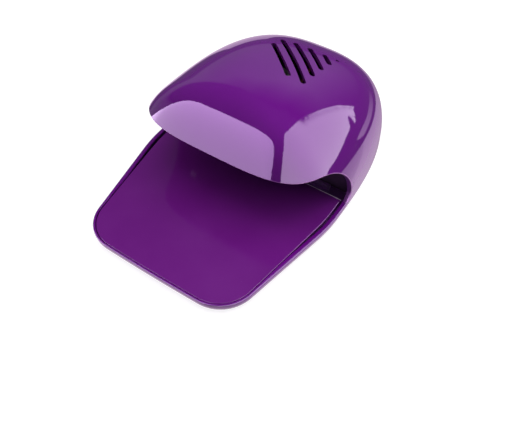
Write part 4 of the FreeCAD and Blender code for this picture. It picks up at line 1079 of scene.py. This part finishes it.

# The outer faces and the whole edge of the tray are polished. The inner faces, the mouth's end face
# and its inner rounding are satin and darker, a painted shade, and its outer rounding is paler, a
# painted highlight.
HIGHLIGHT_FROM = 0.3
OUTER_STRIPS = 3
strip = np.where(lowest < rounded, (highest - 2 * count) // len(rim), -1)
# The painted highlight covers the outer rounding strips above the rim plane.
above = points[highest, 2] > RIM_Z + HIGHLIGHT_FROM
highlighted_edge = above & (strip >= 0) & (strip < OUTER_STRIPS)
polished = outer_face | (~above & (strip >= 0))
shell.data.materials.append(inner_satin_painted_shade)
shell.data.materials.append(painted_edge_highlight)
shell.data.polygons.foreach_set("material_index", np.select([highlighted_edge, polished], [2, 0], 1))
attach(shell, "case")
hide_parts("outer_shell")


# Case screws: four zinc-plated self-tapping screws, driven from below through the base cover into
# the shell's posts.
dress(zinc, "case_screws")


# Studio: a white table, a pale room and soft lamps overhead, at the left and at the rear right.
# Large sheets of light, like the screens of a light tent, show only in the dryer's gloss.
TABLE_GLOW = 0.80
TABLE_GREY = 0.32
TABLE_HALF = 4000.0
ROOM_LIGHT = 0.12
ROOM_GLOSS = 0.10


def bare_material(name):
    """A new material with an output and no shader."""
    made = bpy.data.materials.new(name)
    made.use_nodes = True
    made.node_tree.nodes.clear()
    return made, made.node_tree, made.node_tree.nodes.new("ShaderNodeOutputMaterial").inputs


def table_surface():
    """White table. Rays that come straight from the eye or through glass also see a plain glow, so
    that it reads as white while it keeps the dryer's shadow."""
    made, tree, out = bare_material("table_white")
    path = tree.nodes.new("ShaderNodeLightPath").outputs
    seen = sum_step(tree, "MAXIMUM", path["Is Camera Ray"], path["Is Glossy Ray"])
    seen = sum_step(tree, "MAXIMUM", seen, path["Is Transmission Ray"])
    glow = tree.nodes.new("ShaderNodeEmission")
    feed(tree, sum_step(tree, "MULTIPLY", seen, TABLE_GLOW), glow.inputs["Strength"])
    paper = tree.nodes.new("ShaderNodeBsdfDiffuse")
    paper.inputs["Color"].default_value = (TABLE_GREY, TABLE_GREY, TABLE_GREY, 1)
    both = tree.nodes.new("ShaderNodeAddShader")
    feed(tree, glow.outputs[0], both.inputs[0])
    feed(tree, paper.outputs[0], both.inputs[1])
    feed(tree, both.outputs[0], out["Surface"])
    return made


square = TABLE_HALF * np.array([[-1, -1, 0], [1, -1, 0], [1, 1, 0], [-1, 1, 0]])
table = new_piece("table_top", square, np.array([[0, 1, 2, 3]]), table_surface())
table.visible_glossy = False

world = bpy.data.worlds.new("pale_room")
world.use_nodes = True
tree = world.node_tree
path = tree.nodes.new("ShaderNodeLightPath").outputs
level = mix_step(tree, "FLOAT", path["Is Glossy Ray"], ROOM_LIGHT, ROOM_GLOSS)
level = mix_step(tree, "FLOAT", path["Is Camera Ray"], level, 1.0)
tree.nodes["Background"].inputs["Color"].default_value = (1, 1, 1, 1)
feed(tree, level, tree.nodes["Background"].inputs["Strength"])
bpy.context.scene.world = world


def direction(azimuth, elevation):
    """Unit vector: azimuth 0 is the front and grows towards the right, both in degrees."""
    turn, lift = np.radians(azimuth), np.radians(elevation)
    return np.stack([np.sin(turn) * np.cos(lift), -np.cos(turn) * np.cos(lift), np.sin(lift)],
                    axis=-1)


LAMP_REACH = 0.9
LAMP_SIZE = 0.8


def lamp(name, azimuth, elevation, light):
    """A square soft lamp that faces the dryer. light is its share of a plain light, at which a
    white surface that faces it renders white."""
    source = bpy.data.lights.new(name, "AREA")
    source.shape = "SQUARE"
    source.size = LAMP_SIZE
    source.energy = light * (math.pi * LAMP_REACH) ** 2
    placed = bpy.data.objects.new(name, source)
    placed.location = direction(azimuth, elevation) * LAMP_REACH
    placed.rotation_euler = (math.radians(90 - elevation), 0, math.radians(azimuth))
    placed.visible_camera = False
    placed.visible_glossy = False
    bpy.context.scene.collection.objects.link(placed)


lamp("lamp_overhead", 180, 82, 0.57)
lamp("lamp_front_left", -45, 60, 0.38)
lamp("lamp_rear_right", 125, 30, 0.77)
lamp("lamp_left", -100, 40, 0.12)

GLOW_REACH = 2000.0
GLOW_CENTRE = np.array([0.0, -5.0, 30.0])
GLOW_COLUMNS = 400
GLOW_ROWS = 24
LEFT_TINT = (0.90, 0.71, 1.0)
RIGHT_TINT = (0.98, 0.89, 1.0)
TABLE_TINT = (1.0, 0.78, 1.0)
REAR_TINT = (1, 1, 1)
REAR_FADE = 0.25


def glow_sheet(name, tint, radiance, azimuths, lows, highs, soft_top=0.0):
    """A tinted sheet of light on a large sphere round the dryer, between a low and a high
    elevation that vary with azimuth. A level low edge is one number. Only gloss sees the sheet.
    radiance is one number or ((low, high) at the first azimuth, (low, high) at the last), even
    between them. soft_top is the share of its height over which it fades out at the top."""
    along = np.linspace(0, 1, GLOW_COLUMNS)[:, None]
    azimuth = azimuths[0] + (azimuths[-1] - azimuths[0]) * along
    low = np.interp(azimuth, azimuths, np.broadcast_to(lows, len(azimuths)))
    high = np.interp(azimuth, azimuths, highs)
    share = np.linspace(0, 1, GLOW_ROWS)
    elevation = low + (high - low) * share
    places = GLOW_CENTRE + GLOW_REACH * direction(azimuth + 0 * share, elevation)
    index = np.arange(elevation.size).reshape(elevation.shape)
    faces = np.stack([index[:-1, :-1], index[:-1, 1:], index[1:, 1:], index[1:, :-1]], axis=-1)
    made, tree, out = bare_material(name)
    glow = tree.nodes.new("ShaderNodeEmission")
    strength = tree.nodes.new("ShaderNodeAttribute")
    strength.attribute_name = "radiance"
    glow.inputs["Color"].default_value = (*tint, 1)
    feed(tree, strength.outputs["Fac"], glow.inputs["Strength"])
    feed(tree, glow.outputs[0], out["Surface"])
    sheet = new_piece(name, places.reshape(-1, 3), faces.reshape(-1, 4), made)
    first, last = np.broadcast_to(radiance, (2, 2))
    level = ((1 - along) * ((1 - share) * first[0] + share * first[1])
             + along * ((1 - share) * last[0] + share * last[1]))
    if soft_top:
        level = level * np.clip((1 - share) / soft_top, 0, 1)
    values = level.ravel().astype(np.float32)
    sheet.data.attributes.new("radiance", "FLOAT", "POINT").data.foreach_set("value", values)
    for ray in ("camera", "diffuse", "transmission", "volume_scatter", "shadow"):
        setattr(sheet, "visible_" + ray, False)


glow_sheet("glow_front_left", LEFT_TINT, ((2.5, 9.2), (5.9, 6.4)),
           [-89, -84.9, -78, -72, -67, -64.5, -62.5, -58.3, -53, -46.4, -42.2, -36.1, -29.5, -19.2,
            -4, -1, 2.7, 4.7, 7.6, 10.1, 13.9, 18.2],
           [-35] * 15 + [-16, -1.1, 7.3, 16.8, 26.7, 37.8, 49.4],
           [-26, -20, -15, -6, 5, 18, 32, 38.1, 43.1, 45, 47.5, 50.2, 53.5, 58.5, 61, 61.5, 61.8,
            61.6, 61.2, 60.8, 60, 59])
glow_sheet("glow_right", RIGHT_TINT, ((5.6, 4.8), (4.5, 4.8)),
           [12, 16.2, 20, 25, 31.4, 41.3, 59.5, 86.5, 105, 120, 127, 129.9, 132.1, 133.5, 135.3,
            136.8, 139.9, 141.8, 143.4, 145.8, 146.85, 146.95, 147.4, 150.8, 152.85, 152.95, 154,
            154.3, 155.2, 157],
           [-13, -13, -14, -15, -17, -18, -18, -17, -16, -14, -8, -6.3, -4.5, -2.6, -1.2, 0.4, 1.7,
            3.0, 6.3, 9.4, 9.2, 2.6, 3.2, 7.4, 7.2, 15.7, 19.7, 25.8, 31.7, 40],
           [-10, 7, 16.4, 26.6, 37.2, 48.2, 58.4, 65, 65.2, 63.7, 62.2, 61.2, 60.3, 59.6, 58.8, 58,
            56, 54.5, 53.3, 51.6, 50.6, 50.5, 50.2, 47.4, 45.2, 45.1, 43.8, 43.4, 42.3, 40.2])
glow_sheet("glow_right_spur", RIGHT_TINT, 4.4, [144.2, 145.2, 145.6, 146.9],
           [0.4, 0.4, 1.0, 2.6], [0.5, 3.7, 5.1, 9.2])
glow_sheet("glow_right_corner", RIGHT_TINT, 4.4, [152.9, 154.1, 154.3, 155.7],
           [7.2, 7.1, 7.3, 8.4], [15.7, 12.1, 11.5, 8.5])
glow_sheet("glow_rear_right", REAR_TINT, ((0.06, 0.20), (0.20, 0.80)),
           [150, 158, 166, 175, 180, 187], [8, 5, 3, 2, 2, 2], [36, 40, 43, 44, 45, 45],
           REAR_FADE)
glow_sheet("glow_rear", REAR_TINT, ((0.20, 0.80), (0.26, 0.36)),
           [187, 195, 210, 225], 2, [45, 44, 40, 32], REAR_FADE)
glow_sheet("glow_rear_left", REAR_TINT, ((0.26, 0.36), (0.40, 0.25)),
           [225, 230, 240, 255, 270, 282, 288, 293, 295.5],
           [2, 2, 2, 0, -24, -14.5, -5.5, 5.5, 17], [32, 27, 20, 18, 17, 18, 19, 20, 21],
           REAR_FADE)
glow_sheet("glow_table", TABLE_TINT, 1.4, [-128, -90, 0, 90, 130, 145], -90,
           [-22, -28, -38, -30, -20.5, -20.5])
glow_sheet("glow_table_right", TABLE_TINT, ((1.7, 1.7), (0.5, 0.5)), [145, 165, 185], -90,
           [-20.5, -20.5, -21])
glow_sheet("glow_table_rear", TABLE_TINT, ((0.5, 0.5), (0.95, 0.95)),
           [185, 195, 205, 210, 212, 223, 226, 232], -90, [-21, -20, -19, -14, -8, -8, -20, -22])
glow_sheet("glow_low_right", TABLE_TINT, ((1.5, 1.5), (0.15, 0.15)),
           [140.5, 142.5, 145.2, 151.1, 157.2, 165.6, 170],
           [-12, -14.5, -16.5, -16.5, -16, -15, -13.5],
           [-11.9, -10.3, -10, -10, -9.5, -9.5, -10])

CAMERA_PLACE = np.array([111.00, -161.95, 208.67]) * MM
CAMERA_TURN = (0.6823, 0.0017, 0.5867)
camera = bpy.data.objects.new("camera", bpy.data.cameras.new("camera"))
camera.data.lens = 41.87
camera.data.sensor_width = 36.0
camera.data.clip_start = 0.01
camera.location = CAMERA_PLACE
camera.rotation_euler = CAMERA_TURN
bpy.context.scene.collection.objects.link(camera)
bpy.context.scene.camera = camera
bpy.context.scene.view_settings.view_transform = "Standard"
